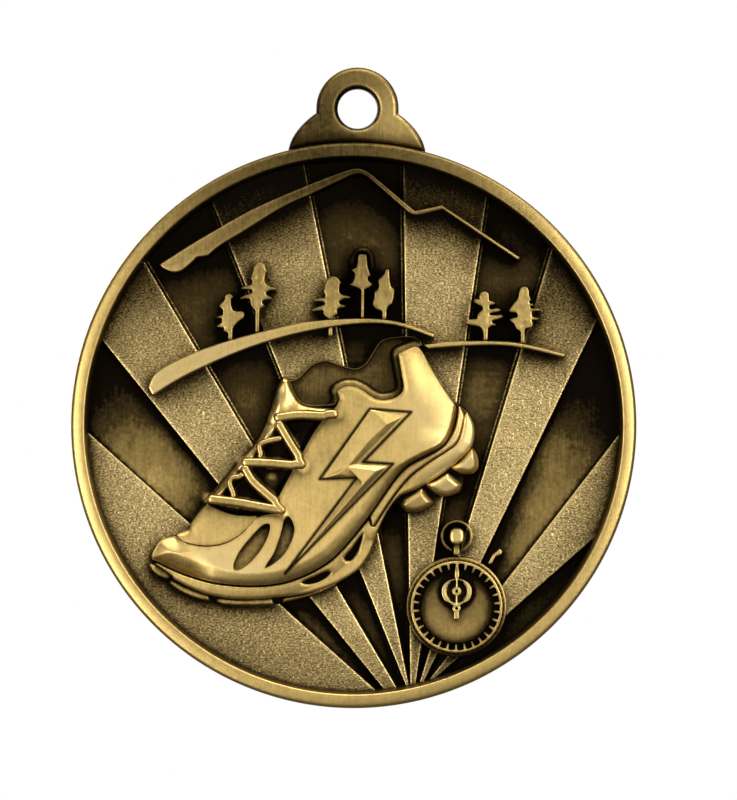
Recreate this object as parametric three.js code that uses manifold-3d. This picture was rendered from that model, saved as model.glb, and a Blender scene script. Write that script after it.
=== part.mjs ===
// A 50 mm finisher medal with a cast ribbon lug: a dished disc with a raised rim, a sunburst of raised
// rays, a mountain and hill skyline with pine trees, a running shoe and a stopwatch, all in relief.
// Millimetres. The part frame has its origin at the centre of the ribbon eye, +Z up and -Y out of the face.
// Artwork is laid out as [x, z] pairs from the disc's centre, and depth is a height above the rim's back.
import * as THREE from "three";
import { mergeVertices } from "three/addons/utils/BufferGeometryUtils.js";
import Module from "manifold-3d";

const wasm = await Module();
wasm.setup();

// ---- driving dimensions ----
const DISC_R = 25;
const EYE_RISE = 28.05; // disc centre to eye centre
const EYE_R = 1.75; // at the waist of the hole
const EYE_MOUTH_R = 2.15;
const LUG_R = 3.15; // flat ring round the eye, inside its chamfer
const LUG_CHAMFER = 0.5;
const LUG_BACK = 0.45;
const LUG_FRONT = 2.95;
const EYE_DEPTH = (LUG_BACK + LUG_FRONT) / 2;

// Heights above the back of the rim.
const BACK_FIELD = 0.4;
const PLATE_TOP = 1;
const RAY_TOP = 2;
const SKYLINE_TOP = 3.2;
const RIM_TOP = 3.6;
const SHOE_PLINTH = 2.2;

const FIELD_R = 23.5; // foot of the rim's inner wall
const RIM_INNER_R = 24; // inner edge of the rim's flat top
const RIM_ROUND = 0.4;
const BACK_ROUND = 0.3;
const BACK_MARGIN = 0.4; // between the open part of the back field and the rim round it
const BACK_FIELD_R = 22.4;
const GAP = 0.1; // between a piece and the neighbour it stands beside
const RIM_GAP = 0.25; // between the ends of the rays and the rim's wall
const ROUND_STEPS = 96;

// ---- finishes ----
const finishes = {
  polished: { color: 0xd9b877, roughness: 0.34, metalness: 1 },
  stippled: { color: 0xb3935a, roughness: 0.55, metalness: 1 },
  patina: { color: 0x4d3d20, roughness: 0.5, metalness: 1 },
};
const material = (name) => new THREE.MeshStandardMaterial(finishes[name]);

// ---- outlines ----
// Points along a smooth curve through the given ones.
function smooth(points, perSpan = 3) {
  const curve = new THREE.SplineCurve(points.map(([x, z]) => new THREE.Vector2(x, z)));
  return curve.getPoints(perSpan * (points.length - 1)).map((p) => [p.x, p.y]);
}

// The same, closed on itself.
function loop(points, perSpan = 3) {
  const knots = points.map(([x, z]) => new THREE.Vector3(x, z, 0));
  const curve = new THREE.CatmullRomCurve3(knots, true, "centripetal");
  return curve.getPoints(perSpan * points.length).slice(0, -1).map((p) => [p.x, p.y]);
}

function circle(x, z, r, steps = 32) {
  const turn = (2 * Math.PI) / steps;
  return Array.from({ length: steps }, (_, i) => [x + r * Math.cos(i * turn), z + r * Math.sin(i * turn)]);
}

// A ribbon of varying width along a centre line: each knot is [x, z, width], and the ends are round.
function stroke(knots, perSpan = 4, capSteps = 4) {
  const line = knots.length > 2 ? smoothKnots(knots, perSpan) : knots;
  const side = (sign) =>
    line.map(([x, z, w], i) => {
      const [ax, az] = line[Math.max(i - 1, 0)];
      const [bx, bz] = line[Math.min(i + 1, line.length - 1)];
      const length = Math.hypot(bx - ax, bz - az);
      return [x - (sign * w * (bz - az)) / length / 2, z + (sign * w * (bx - ax)) / length / 2];
    });
  const cap = (i, j) => {
    const [x, z, w] = line[i];
    const start = Math.atan2(z - line[j][1], x - line[j][0]) + Math.PI / 2;
    return Array.from({ length: capSteps - 1 }, (_, k) => {
      const a = start - ((k + 1) * Math.PI) / capSteps;
      return [x + (w / 2) * Math.cos(a), z + (w / 2) * Math.sin(a)];
    });
  };
  const last = line.length - 1;
  return [...side(1), ...cap(last, last - 1), ...side(-1).reverse(), ...cap(0, 1)];
}

function smoothKnots(knots, perSpan) {
  const curve = new THREE.CatmullRomCurve3(knots.map((k) => new THREE.Vector3(...k)), false, "centripetal");
  return curve.getPoints(perSpan * (knots.length - 1)).map((p) => [p.x, p.y, p.z]);
}

// A shape with its outline running anticlockwise, as its holes need.
function shapeOf(points, holes = []) {
  const vectors = (list) => list.map(([x, z]) => new THREE.Vector2(x, z));
  const outline = vectors(points);
  if (THREE.ShapeUtils.isClockWise(outline)) outline.reverse();
  const shape = new THREE.Shape(outline);
  shape.holes = holes.map((hole) => new THREE.Path(vectors(hole)));
  return shape;
}

// ---- solids ----
// An outline raised from one height to another, standing in the part frame.
function prismGeometry(points, low, high, holes = []) {
  const made = new THREE.ExtrudeGeometry(shapeOf(points, holes), {
    depth: high - low,
    bevelEnabled: false,
  });
  return made.rotateX(Math.PI / 2).translate(0, EYE_DEPTH - low, -EYE_RISE);
}

// A solid of revolution about the disc's centre or the eye. Each profile point is [radius, height].
function turned(profile, rise = EYE_RISE, steps = ROUND_STEPS) {
  const points = profile.map(([r, h]) => new THREE.Vector2(r, EYE_DEPTH - h));
  return solidOf(new THREE.LatheGeometry(points, steps).translate(0, 0, -rise));
}

function solidOf(geometry) {
  const bare = geometry.clone();
  bare.deleteAttribute("normal");
  bare.deleteAttribute("uv");
  const merged = mergeVertices(bare, 1e-4);
  const made = new wasm.Manifold(
    new wasm.Mesh({
      numProp: 3,
      vertProperties: merged.attributes.position.array,
      triVerts: new Uint32Array(merged.index.array),
    }),
  );
  return made;
}

const prism = (...shape) => solidOf(prismGeometry(...shape));

// The largest piece of a solid that a cut has left in several.
function biggest(solid) {
  const pieces = solid.decompose();
  return pieces.sort((a, b) => b.volume() - a.volume())[0];
}

function geometryOf(solid) {
  const mesh = solid.getMesh();
  const made = new THREE.BufferGeometry();
  made.setAttribute("position", new THREE.BufferAttribute(mesh.vertProperties, mesh.numProp));
  made.setIndex(new THREE.BufferAttribute(mesh.triVerts, 1));
  const flat = made.toNonIndexed();
  flat.computeVertexNormals();
  return flat;
}

const medal = new THREE.Group();

function add(name, solid, finish) {
  const mesh = new THREE.Mesh(geometryOf(solid), material(finish));
  mesh.name = name;
  medal.add(mesh);
  return mesh;
}

// ---- disc, rim and lug ----
function buildDisc() {
  const plate = turned([
    [0, PLATE_TOP],
    [DISC_R, PLATE_TOP],
    [DISC_R, BACK_FIELD],
    [BACK_FIELD_R - BACK_MARGIN, BACK_FIELD],
    [0, BACK_FIELD],
  ]);
  add("backplate", plate, "patina");
  const backRim = turned([
    [BACK_FIELD_R, BACK_FIELD],
    [DISC_R, BACK_FIELD],
    [DISC_R, BACK_ROUND],
    [DISC_R - BACK_ROUND * 0.3, BACK_ROUND * 0.3],
    [DISC_R - BACK_ROUND, 0],
    [BACK_FIELD_R + 0.2, 0],
    [BACK_FIELD_R, BACK_FIELD],
  ]);
  add("back_rim", backRim, "polished");
  const rim = turned([
    [FIELD_R, PLATE_TOP],
    [RIM_INNER_R, RIM_TOP],
    [DISC_R - RIM_ROUND, RIM_TOP],
    [DISC_R - RIM_ROUND * 0.3, RIM_TOP - RIM_ROUND * 0.3],
    [DISC_R, RIM_TOP - RIM_ROUND],
    [DISC_R, PLATE_TOP],
    [FIELD_R, PLATE_TOP],
  ]);
  add("rim", rim, "polished");
}

function buildLug() {
  const shoulder = [
    [3.15, 27.35],
    [3.9, 26.8],
    [4.7, 26],
    [5.3, 25.1],
    [5.6, 24.2],
  ];
  const right = smooth(shoulder);
  const left = right.map(([x, z]) => [-x, z]);
  const crown = circle(0, EYE_RISE, LUG_R, 48).slice(0, 25);
  const face = new THREE.ExtrudeGeometry(shapeOf([...crown, ...left, ...right.toReversed()]), {
    depth: LUG_FRONT - LUG_BACK - 2 * LUG_CHAMFER,
    bevelThickness: LUG_CHAMFER,
    bevelSize: LUG_CHAMFER,
    bevelSegments: 3,
  });
  face.rotateX(Math.PI / 2).translate(0, EYE_DEPTH - LUG_BACK - LUG_CHAMFER, -EYE_RISE);
  const waist = 0.4; // half the length of the eye's straight middle
  const eye = turned(
    [
      [0, LUG_FRONT + 1],
      [EYE_MOUTH_R + 1, LUG_FRONT + 1],
      [EYE_MOUTH_R, LUG_FRONT],
      [EYE_R, EYE_DEPTH + waist],
      [EYE_R, EYE_DEPTH - waist],
      [EYE_MOUTH_R, LUG_BACK],
      [EYE_MOUTH_R + 1, LUG_BACK - 1],
      [0, LUG_BACK - 1],
    ],
    0,
    48,
  );
  const seat = prism(circle(0, 0, DISC_R + GAP / 2, ROUND_STEPS), -1, RIM_TOP + 1);
  add("ribbon_lug", solidOf(face).subtract(eye).subtract(seat), "polished");
}

// ---- sunburst ----
// The edges of the rays, each from its foot at the bottom of the rim to its head, from left to right.
const rayEdges = [
  [[2.3, -23.5], [-23.7, -0.75]],
  [[3, -23.4], [-22.3, 7.2]],
  [[4.1, -23.2], [-18.9, 14.6]],
  [[4.9, -23], [-12.9, 19.9]],
  [[5.15, -22.9], [-4.7, 23.3]],
  [[5.3, -23], [4.1, 23.4]],
  [[5.75, -23], [11.6, 20.6]],
  [[6.1, -22.8], [17.4, 16]],
  [[6.5, -22.6], [21.2, 9]],
  [[7.1, -22.3], [23.4, -0.7]],
  [[7.4, -22.4], [21.1, -10]],
];
const OVERRUN = 3; // how far an edge runs past the field before the field's circle trims it
const rays = [
  { name: "ray_1", edges: [null, 0] },
  { name: "ray_2", edges: [1, 2] },
  { name: "ray_3", edges: [3, 4] },
  { name: "ray_4", edges: [5, 6] },
  { name: "ray_5", edges: [7, 8] },
  { name: "ray_6", edges: [9, 10] },
];

// An edge moved sideways, to its left as it runs from foot to head, and lengthened at both ends.
function edgeLine(index, shift) {
  const [[fx, fz], [hx, hz]] = rayEdges[index];
  const length = Math.hypot(hx - fx, hz - fz);
  const [ux, uz] = [(hx - fx) / length, (hz - fz) / length];
  const [sx, sz] = [-uz * shift, ux * shift];
  return [
    [fx + sx - ux, fz + sz - uz],
    [hx + sx + ux * OVERRUN, hz + sz + uz * OVERRUN],
  ];
}

// The area between two edges, grown sideways. The first ray has no left edge, and fills all the field
// below its right one.
function wedge([leftEdge, rightEdge], grow = 0) {
  const [rightFoot, rightHead] = edgeLine(rightEdge, -grow);
  if (leftEdge === null) {
    const below = -DISC_R - OVERRUN;
    return [rightFoot, rightHead, [below, rightHead[1]], [below, below], [rightFoot[0], below]];
  }
  const [leftFoot, leftHead] = edgeLine(leftEdge, grow);
  return [leftFoot, rightFoot, rightHead, leftHead];
}

const field = (radius, low, high) => prism(circle(0, 0, radius, ROUND_STEPS), low, high);
const rayWithin = (ray, grow, radius, low, high) =>
  prism(wedge(ray.edges, grow), low, high).intersect(field(radius, low, high));

// The two widest valleys have floors that fall from the ray on one side to the foot of the next.
const slopes = [
  { name: "slope_left", edges: [0, 1], high: 0, low: 1 },
  { name: "slope_right", edges: [8, 9], high: 9, low: 8 },
];
const SLOPE_HIGH = 1.85;
const SLOPE_LOW = 1.15;

// Height of a slope's floor at a point, straight across from its low edge to its high one.
function slopeHeight(slope, x, z) {
  const across = (edge) => {
    const [[fx, fz], [hx, hz]] = rayEdges[edge];
    const side = (x - fx) * (hz - fz) - (z - fz) * (hx - fx);
    return Math.abs(side) / Math.hypot(hx - fx, hz - fz);
  };
  const fromLow = across(slope.low);
  return SLOPE_LOW + ((SLOPE_HIGH - SLOPE_LOW) * fromLow) / (fromLow + across(slope.high));
}

// A slope's panel: the valley between its edges, with every point of its top lifted to the floor's height.
function slopePanel(slope, inset, radius, lift = 0) {
  const flat = prism(wedge(slope.edges, -inset), PLATE_TOP, RAY_TOP).intersect(
    field(radius, PLATE_TOP, RAY_TOP),
  );
  const top = EYE_DEPTH - RAY_TOP;
  return flat.warp((point) => {
    if (Math.abs(point[1] - top) < 1e-3)
      point[1] = EYE_DEPTH - slopeHeight(slope, point[0], point[2] + EYE_RISE) - lift;
  });
}

function buildSunburst() {
  for (const ray of rays)
    add(ray.name, rayWithin(ray, 0, FIELD_R - RIM_GAP, PLATE_TOP, RAY_TOP), "stippled");
  for (const slope of slopes) add(slope.name, slopePanel(slope, GAP, FIELD_R - RIM_GAP), "polished");
}

// Everything that stands on the disc's plate, grown by the gap, for cutting the feet of what stands
// over it.
function sunburstCutter() {
  const below = PLATE_TOP - 1;
  const grown = rays.map((ray) => rayWithin(ray, GAP, FIELD_R, below, RAY_TOP));
  const panels = slopes.map((slope) => prism(wedge(slope.edges), below, RAY_TOP));
  return [...grown, ...panels].reduce((sum, solid) => sum.add(solid));
}
const sunburst = sunburstCutter();

// An outline that stands over the sunburst, with feet that reach the plate in its valleys.
function standing(points, top, holes = []) {
  return prism(points, PLATE_TOP, top, holes).subtract(sunburst);
}

// ---- skyline ----
function buildMountain() {
  const ridge = smooth([
    [-17.3, 14], [-15.1, 15.45], [-13, 16.75], [-9, 19.05], [-4.1, 21.25], [-1.2, 22.4],
  ]);
  const peak = smooth([[-0.4, 22.65], [0.3, 22.7], [1.1, 22.35]]);
  const crest = [[5.2, 18.98], [7.6, 19.52], [14.55, 14.98], [14.4, 14.82], [7.65, 19.25]];
  const notch = smooth([[5.9, 18.8], [5.2, 18.72], [4.6, 18.98]]);
  const underside = smooth([[1, 22.02], [0.3, 22.3], [-0.6, 22.1]]);
  const lower = smooth([[-4.2, 20.35], [-6.6, 19.2], [-10, 17.05], [-12, 15.8], [-13.1, 14.9]]);
  const scree = smooth([[-14.05, 14.72], [-15.3, 13.6], [-16.2, 13.42], [-17, 13.75]]);
  const outline = [...ridge, ...peak, ...crest, ...notch, ...underside, ...lower, ...scree];
  add("mountain_outline", standing(outline, SKYLINE_TOP), "polished");
}

// A hill is a curved strip: its top edge and its lower edge, both from left to right.
const hills = {
  hill_left: {
    top: [
      [-18.15, 3.15], [-17.6, 4.3], [-16, 5.35], [-13, 6.7], [-9, 7.95], [-4, 9.1], [1, 9.43],
      [4, 9.12], [7.05, 8.1],
    ],
    under: [
      [-17.8, 2.45], [-15, 4.2], [-11, 6.1], [-7, 7.57], [-3, 8.55], [1, 9.07], [4, 8.85], [6.9, 7.9],
    ],
  },
  hill_right: {
    top: [[6.15, 7.2], [9, 7.5], [12.3, 7.57], [15, 7.36], [18.6, 6.5]],
    under: [[6.55, 6.9], [9, 7.12], [12.2, 7.27], [15, 7.06], [18.5, 6.28]],
  },
};

// A hill's outline, with both edges moved outwards.
function hillOutline({ top, under }, grow = 0) {
  const moved = (points, rise) => points.map(([x, z]) => [x, z + rise]);
  return [...smooth(moved(top, grow)), ...smooth(moved(under, -grow)).reverse()];
}

function buildHills() {
  for (const [name, hill] of Object.entries(hills))
    add(name, standing(hillOutline(hill), SKYLINE_TOP), "polished");
}

// Pine silhouettes, each from the left of its trunk's foot, up its left side and down its right.
const pines = [
  [
    [-11.2, 6.8], [-11.17, 8.05], [-11.6, 8.22], [-11.55, 8.52], [-12.2, 8.55], [-12.15, 8.72],
    [-11.8, 8.9], [-11.72, 9.32], [-12.3, 9.4], [-12, 9.54], [-11.68, 9.6], [-11.66, 10.1],
    [-12.05, 10.45], [-11.7, 10.75], [-11.47, 11.1], [-11.5, 11.38], [-11.2, 11.5], [-10.95, 11.45],
    [-10.75, 11.22], [-10.98, 11.05], [-10.98, 10.5], [-10.8, 10.05], [-10.4, 9.92], [-9.95, 9.97],
    [-9.75, 9.75], [-9.85, 9.4], [-10.4, 9], [-10.78, 8.5], [-10.82, 8], [-10.78, 6.9],
  ],
  [
    [-8.78, 7.4], [-8.8, 10.05], [-9.2, 10.5], [-9.28, 11.05], [-9.6, 11.12], [-10.18, 11.02],
    [-10.12, 11.2], [-9.5, 11.47], [-9.08, 11.62], [-9.08, 11.88], [-10.1, 11.95], [-10, 12.12],
    [-9.5, 12.2], [-9.15, 12.35], [-9.1, 12.7], [-9.28, 12.9], [-9.1, 13.3], [-8.98, 13.9],
    [-8.7, 14.28], [-8.35, 14.35], [-8.05, 14.12], [-7.95, 13.75], [-7.78, 13.5], [-7.97, 13.35],
    [-8.05, 12.7], [-7.85, 12.35], [-7.5, 12.14], [-6.95, 12.05], [-7.02, 11.9], [-7.5, 11.88],
    [-7.95, 11.65], [-7.8, 11.4], [-7.35, 11.2], [-7.42, 11.08], [-8.12, 11], [-8.24, 10.75],
    [-8, 10.5], [-8.15, 10.34], [-8.45, 10.2], [-8.5, 7.6],
  ],
  [
    [-2.32, 7.9], [-2.32, 9.45], [-2.62, 9.62], [-2.82, 9.88], [-2.75, 10.15], [-3.4, 10.1],
    [-3.9, 10.04], [-3.75, 10.2], [-3.3, 10.4], [-2.6, 10.68], [-2.75, 10.92], [-3.7, 10.94],
    [-3.6, 11.1], [-2.68, 11.22], [-2.62, 11.5], [-2.8, 11.8], [-2.6, 12.6], [-2.35, 13], [-2, 13.16],
    [-1.6, 13.08], [-1.22, 12.55], [-1.4, 12.42], [-1.42, 11.75], [-1.15, 11.5], [-0.4, 11.38],
    [-0.45, 11.24], [-1, 11.22], [-1.45, 10.9], [-1.3, 10.68], [-0.78, 10.6], [-0.86, 10.48],
    [-1.4, 10.38], [-1.65, 10.15], [-1.5, 9.85], [-1.95, 9.6], [-1.97, 7.9],
  ],
  [
    [0.54, 8.9], [0.54, 12.04], [0.1, 12.22], [-0.55, 12.44], [-0.22, 12.62], [-0.08, 13], [0, 13.45],
    [-0.38, 13.75], [0.1, 13.95], [0.2, 14.5], [0.24, 15.12], [0.96, 15.12], [1.04, 14.2],
    [1.2, 13.6], [1.36, 13.28], [1.06, 13.1], [1.14, 12.82], [1.55, 12.45], [1.1, 12.14],
    [0.8, 12.02], [0.8, 8.9],
  ],
  [
    [2.42, 8.9], [2.42, 10.14], [1.98, 10.3], [1.68, 10.5], [1.55, 10.82], [1.7, 11.3], [1.75, 11.88],
    [2.02, 12.05], [2.1, 12.32], [2.02, 12.85], [2.3, 13.12], [2.55, 13.4], [2.72, 13.85],
    [2.98, 13.85], [3, 13.2], [3.08, 12.6], [3.2, 12.25], [3.45, 12.08], [3.4, 11.4], [3.25, 10.8],
    [2.95, 10.62], [2.78, 10.3], [2.76, 8.9],
  ],
  [
    [11.36, 7], [11.4, 8.25], [11.3, 8.62], [11, 8.9], [10.3, 9], [9.87, 9.15], [9.86, 9.32],
    [10.1, 9.46], [10.82, 9.54], [10.86, 9.9], [11.02, 10.15], [11.32, 10.38], [11.3, 10.62],
    [10.7, 10.92], [10.5, 11.15], [10.65, 11.3], [11.02, 11.24], [11, 11.6], [11.15, 11.9],
    [11.5, 12], [11.78, 11.84], [11.85, 11.5], [11.82, 11.2], [12.4, 11], [12.3, 10.86],
    [11.86, 10.76], [11.88, 10.42], [12.6, 10.48], [12.95, 10.38], [12.75, 10.24], [11.98, 10.08],
    [11.82, 9.92], [12.5, 9.86], [12.9, 9.95], [13.15, 9.8], [12.9, 9.62], [12.12, 9.42],
    [12.14, 9.22], [12.56, 9.1], [12.4, 8.98], [12, 8.94], [11.78, 8.74], [11.74, 7],
  ],
  [
    [14.7, 7], [14.7, 8.5], [14.38, 8.66], [14.2, 8.86], [14.14, 9.12], [13.66, 9.5], [14, 9.66],
    [14.38, 9.72], [14.4, 10.02], [14.2, 10.16], [13.9, 10.14], [13.6, 10.3], [13.95, 10.8],
    [14.42, 11.4], [14.5, 11.95], [14.62, 12.32], [14.88, 12.46], [15.2, 12.4], [15.36, 12.08],
    [15.36, 11.7], [15.56, 11.25], [15.4, 11.14], [15.4, 10.98], [15.84, 10.92], [15.8, 10.8],
    [15.46, 10.7], [15.5, 10.54], [16.42, 10.5], [16.38, 10.36], [15.62, 10.26], [15.68, 9.78],
    [16.32, 9.68], [16.24, 9.56], [15.62, 9.5], [15.76, 9.15], [15.64, 8.86], [15.04, 8.74],
    [15.02, 7],
  ],
];
const PINES_ON_LEFT_HILL = 5;

function buildPines() {
  // The third pine's trunk runs on below the hill, and the fourth has a round crown behind its top.
  const stub = [[-2.3, 7.9], [-2.3, 8.58], [-1.97, 8.62], [-1.97, 7.9]];
  add("pine_root", standing(stub, SKYLINE_TOP), "polished");
  pines.forEach((outline, i) => {
    const under = i < PINES_ON_LEFT_HILL ? hills.hill_left : hills.hill_right;
    const hill = prism(hillOutline(under, GAP), -1, RIM_TOP);
    const tree = biggest(standing(outline, SKYLINE_TOP).subtract(hill));
    add(`pine_${i + 1}`, tree, "polished");
  });
  const crown = loop(
    [
      [-0.55, 14.1], [-0.45, 14.9], [-0.05, 15.5], [0.6, 15.8], [1.3, 15.55], [1.62, 14.9], [1.65, 14],
      [1.5, 13.5],
    ],
    2,
  );
  const middle = 0.62;
  const spread = 1.2; // keeps the crown clear of the pine in front of it
  const inFront = pines[3].map(([x, z]) => [middle + (x - middle) * spread, z + (z > 14 ? GAP : 0)]);
  const behind = standing(crown, SKYLINE_TOP - 0.5).subtract(prism(inFront, -1, RIM_TOP));
  add("pine_4_crown", biggest(behind), "patina");
}

// ---- running shoe ----
const upperFoot = [
  [9.05, 1.3], [8.75, -0.2], [7.9, -1.6], [6.5, -2.45], [4.9, -3.3], [3.8, -4.4], [2.6, -6.1], [1.4, -7.9],
  [-0.2, -10], [-2, -11.9], [-4.2, -13.2], [-6.6, -14], [-9.5, -14.2], [-12.5, -13.9], [-15.2, -13.1],
  [-17.2, -12.2],
];
const collar = [
  [-1.4, 3], [-0.8, 3.35], [0, 3.38], [0.8, 3], [1.8, 2.35], [2.8, 2.2], [3.9, 2.55], [4.45, 3.3],
  [4.3, 4.4],
];
const vampEdge = [
  [-15.5, -10.1], [-14.6, -10.7], [-12.9, -10.95], [-11.2, -10.65], [-9.8, -9.8], [-8.5, -8.35],
];
const leaves = [
  [
    [-10.5, -12.75], [-10.1, -11.5], [-8.9, -9.9], [-7.8, -8.85], [-7.28, -8.85], [-7.5, -10],
    [-8.2, -11.3], [-9.3, -12.5], [-10.2, -12.95],
  ],
  [
    [-7.75, -12.75], [-7, -11.5], [-6.3, -9.5], [-6.0, -8.3], [-5.75, -8.05], [-5.35, -8.45],
    [-5.12, -9.3], [-5.45, -10.5], [-6.3, -11.8],
  ],
];

function upperOutline() {
  const heelTab = [[4.35, 4.1], [3.95, 6.35], [5.3, 6.95], [5.65, 6.9], [6, 6.5]];
  const back = smooth([[6, 6.5], [7, 4.7], [8, 3.1], [8.95, 1.75], [9.05, 1.3]]);
  const toe = smooth([[-17.62, -12.05], [-17.65, -11.6], [-17, -10.5], [-16.2, -10.15], [-15.6, -10.08]]);
  const eyestay = [
    [-7.5, -8.05], [-6.15, -7.95], [-6.72, -6.85], [-4.5, -2.6], [-2.85, 0.2], [-1.5, 1.65],
    [-1.18, 2.3],
  ];
  return [
    ...heelTab.slice(1, -1), ...back, ...smooth(upperFoot, 2).slice(1), ...toe,
    ...smooth(vampEdge).slice(1), ...eyestay, ...smooth(collar, 2),
  ];
}

const vampOutline = [
  ...smooth([[-12.85, -7.15], [-11.7, -7.72], [-10.4, -8.12], [-8.9, -8.2]]),
  ...smooth(vampEdge.map(([x, z]) => [x, z + 0.22])).reverse(),
  [-14.4, -9.45], [-14.2, -8.85], [-13.5, -7.85],
];

const liningOutline = [
  ...smooth([[-5.7, 3.85], [-4.95, 4.05], [-3.9, 5.1], [-2.6, 5.65], [-1.2, 5.25], [0.1, 4.95], [1.1, 5.5],
    [1.75, 6.5], [2.4, 7.45], [3.6, 7.8], [5.3, 7.82], [5.9, 7.2]], 2),
  [5.4, 7.1], [3.75, 6.45], [4.15, 4.1],
  ...smooth([
    [4.25, 3.3], [3.75, 2.72], [2.8, 2.4], [1.85, 2.55], [0.9, 3.2], [0, 3.6], [-0.9, 3.55],
    [-1.55, 3.15],
  ], 2),
  [-1.35, 2.3],
  ...smooth([[-1.8, 1.85], [-3.5, 1.72], [-4.6, 1.95], [-5.2, 2.7]], 2),
];

const tongueOutline = [
  ...smooth([
    [-12.35, -6.3], [-11.2, -4.9], [-9.9, -3.2], [-8.6, -1.8], [-7.7, 0], [-7.1, 1.9], [-6.65, 3.4],
    [-6.3, 4.1],
  ], 2),
  ...smooth([[-5.85, 3.95], [-5.35, 2.7], [-4.7, 1.8], [-3.5, 1.5], [-1.9, 1.45]], 2),
  [-3.02, 0.2], [-4.67, -2.6], [-6.88, -6.85], [-6.35, -7.85], [-8.9, -8], [-10.4, -7.95], [-11.7, -7.55],
];

const midsoleTop = upperFoot.map(([x, z], i) => {
  const drop = 0.28; // the groove under the upper, square to its edge
  const [ax, az] = upperFoot[Math.max(i - 1, 0)];
  const [bx, bz] = upperFoot[Math.min(i + 1, upperFoot.length - 1)];
  const length = Math.hypot(bx - ax, bz - az);
  return [x - (drop * (bz - az)) / length, z + (drop * (bx - ax)) / length];
});
const ribLine = [
  [9.75, 0.9], [9.5, -0.5], [8.9, -1.7], [7, -3], [5.2, -4.35], [3.9, -5.85], [2.75, -7.55], [1.9, -8.95],
];
const soleEdge = [
  [10.02, 1.2], [10.6, 0], [10.45, -1.6], [9.3, -2.95], [7.2, -4.6], [5.2, -5.7], [4.1, -6.15], [3, -7.6],
  [2.2, -9.3], [1.5, -11.2], [0.5, -12.7], [-0.9, -13.65], [-1.8, -14.1], [-4, -14.85], [-7, -15.3],
  [-10, -15.45], [-12.6, -15.1], [-14.5, -14.4], [-15.7, -13.75],
];
const windows = [
  [
    [-0.68, -11.7], [-0.1, -11], [0.45, -10.2], [0.9, -9.6], [0.7, -10.6], [0.35, -11.4],
    [-0.1, -11.95], [-0.45, -12],
  ],
  [
    [-4.4, -13.95], [-3.3, -13.4], [-2.2, -12.95], [-1.88, -13.02], [-2.3, -13.5], [-3.1, -13.95],
    [-3.9, -14.1],
  ],
];

function midsolePieces() {
  const heelRib = [
    ...smooth(midsoleTop.slice(0, 8), 2),
    ...smooth(ribLine.map(([x, z]) => [x - 0.08, z + 0.1]), 2).reverse(),
    [9.35, 1.72],
  ];
  const lower = [
    ...smooth(ribLine.map(([x, z]) => [x + 0.08, z - 0.08]), 2),
    [1.62, -8.95],
    [1.4, -8.45],
    ...smooth(midsoleTop.slice(8), 2),
    [-15.9, -13.45],
    ...smooth(soleEdge, 2).reverse(),
  ];
  return { heelRib, lower };
}

const treads = {
  tread_toe: [
    [-17.85, -12.45], [-16.9, -12.85], [-16.1, -13.45], [-15.98, -13.7], [-16.3, -13.82], [-17, -13.58],
    [-17.6, -13.15], [-17.92, -12.7],
  ],
  tread_front: [
    [-16, -13.85], [-14.6, -14.55], [-12.65, -15.25], [-12.5, -15.7], [-13.6, -15.5], [-14.9, -15],
    [-15.95, -14.35], [-16.15, -14.1],
  ],
  tread_ball: [
    [-11.9, -15.45], [-10, -15.58], [-7, -15.42], [-6.85, -15.95], [-9, -16.05], [-11.3, -15.98],
    [-11.95, -15.75],
  ],
  tread_arch: [
    [-6.1, -15.38], [-4, -14.98], [-1.95, -14.22], [-1.35, -13.95], [-1.35, -14.1], [-2.6, -14.72],
    [-4.2, -15.28], [-6.1, -15.75],
  ],
};
const heelLugs = [
  [
    [4.3, -7], [4.55, -6.55], [5.4, -6.02], [6.1, -5.5], [6.6, -6.15], [7.15, -6.75], [6.5, -7.3],
    [5.5, -7.62], [4.7, -7.55],
  ],
  [
    [6.5, -5.15], [7.3, -4.85], [8.35, -4.15], [9, -4.6], [9.65, -5.15], [9.4, -5.75], [8.6, -6.12],
    [7.8, -6.12], [7, -5.65],
  ],
  [
    [8.68, -3.65], [9.45, -3.15], [10.5, -1.95], [10.85, -2.35], [11.05, -3], [11, -3.7], [10.6, -4.15],
    [9.8, -4.15], [9, -3.85],
  ],
];
const laces = [
  [[-6.72, 0.62, 0.6], [-5, 0.86, 0.58], [-3.2, 0.82, 0.58], [-1.85, 0.78, 0.66]],
  [[-6.58, -0.18, 0.6], [-5.4, -2.1, 0.66], [-4.3, -3.62, 0.6]],
  [[-9.55, -3.38, 0.56], [-8, -3.4, 0.56], [-5.05, -3.6, 0.62]],
  [[-9.6, -4.05, 0.58], [-9, -5, 0.64], [-6.6, -7.1, 0.66]],
  [[-12.6, -6.68, 0.55], [-10.5, -6.9, 0.6], [-7.35, -7.42, 0.6]],
  [[-6.75, -1.3, 0.3], [-7.7, -1.5, 0.32], [-8.35, -1.85, 0.34], [-8.2, -2.65, 0.3]],
  [[-10.1, -4.68, 0.36], [-10.75, -4.78, 0.38], [-10.95, -5.25, 0.38], [-10.6, -6.1, 0.36]],
];
const boltOutline = [
  [1.42, 1.48], [5.08, 1.24], [0.88, -3.22], [3.52, -3.36], [-5.9, -13.15], [0.35, -4.6], [-2.95, -4.78],
];

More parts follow.
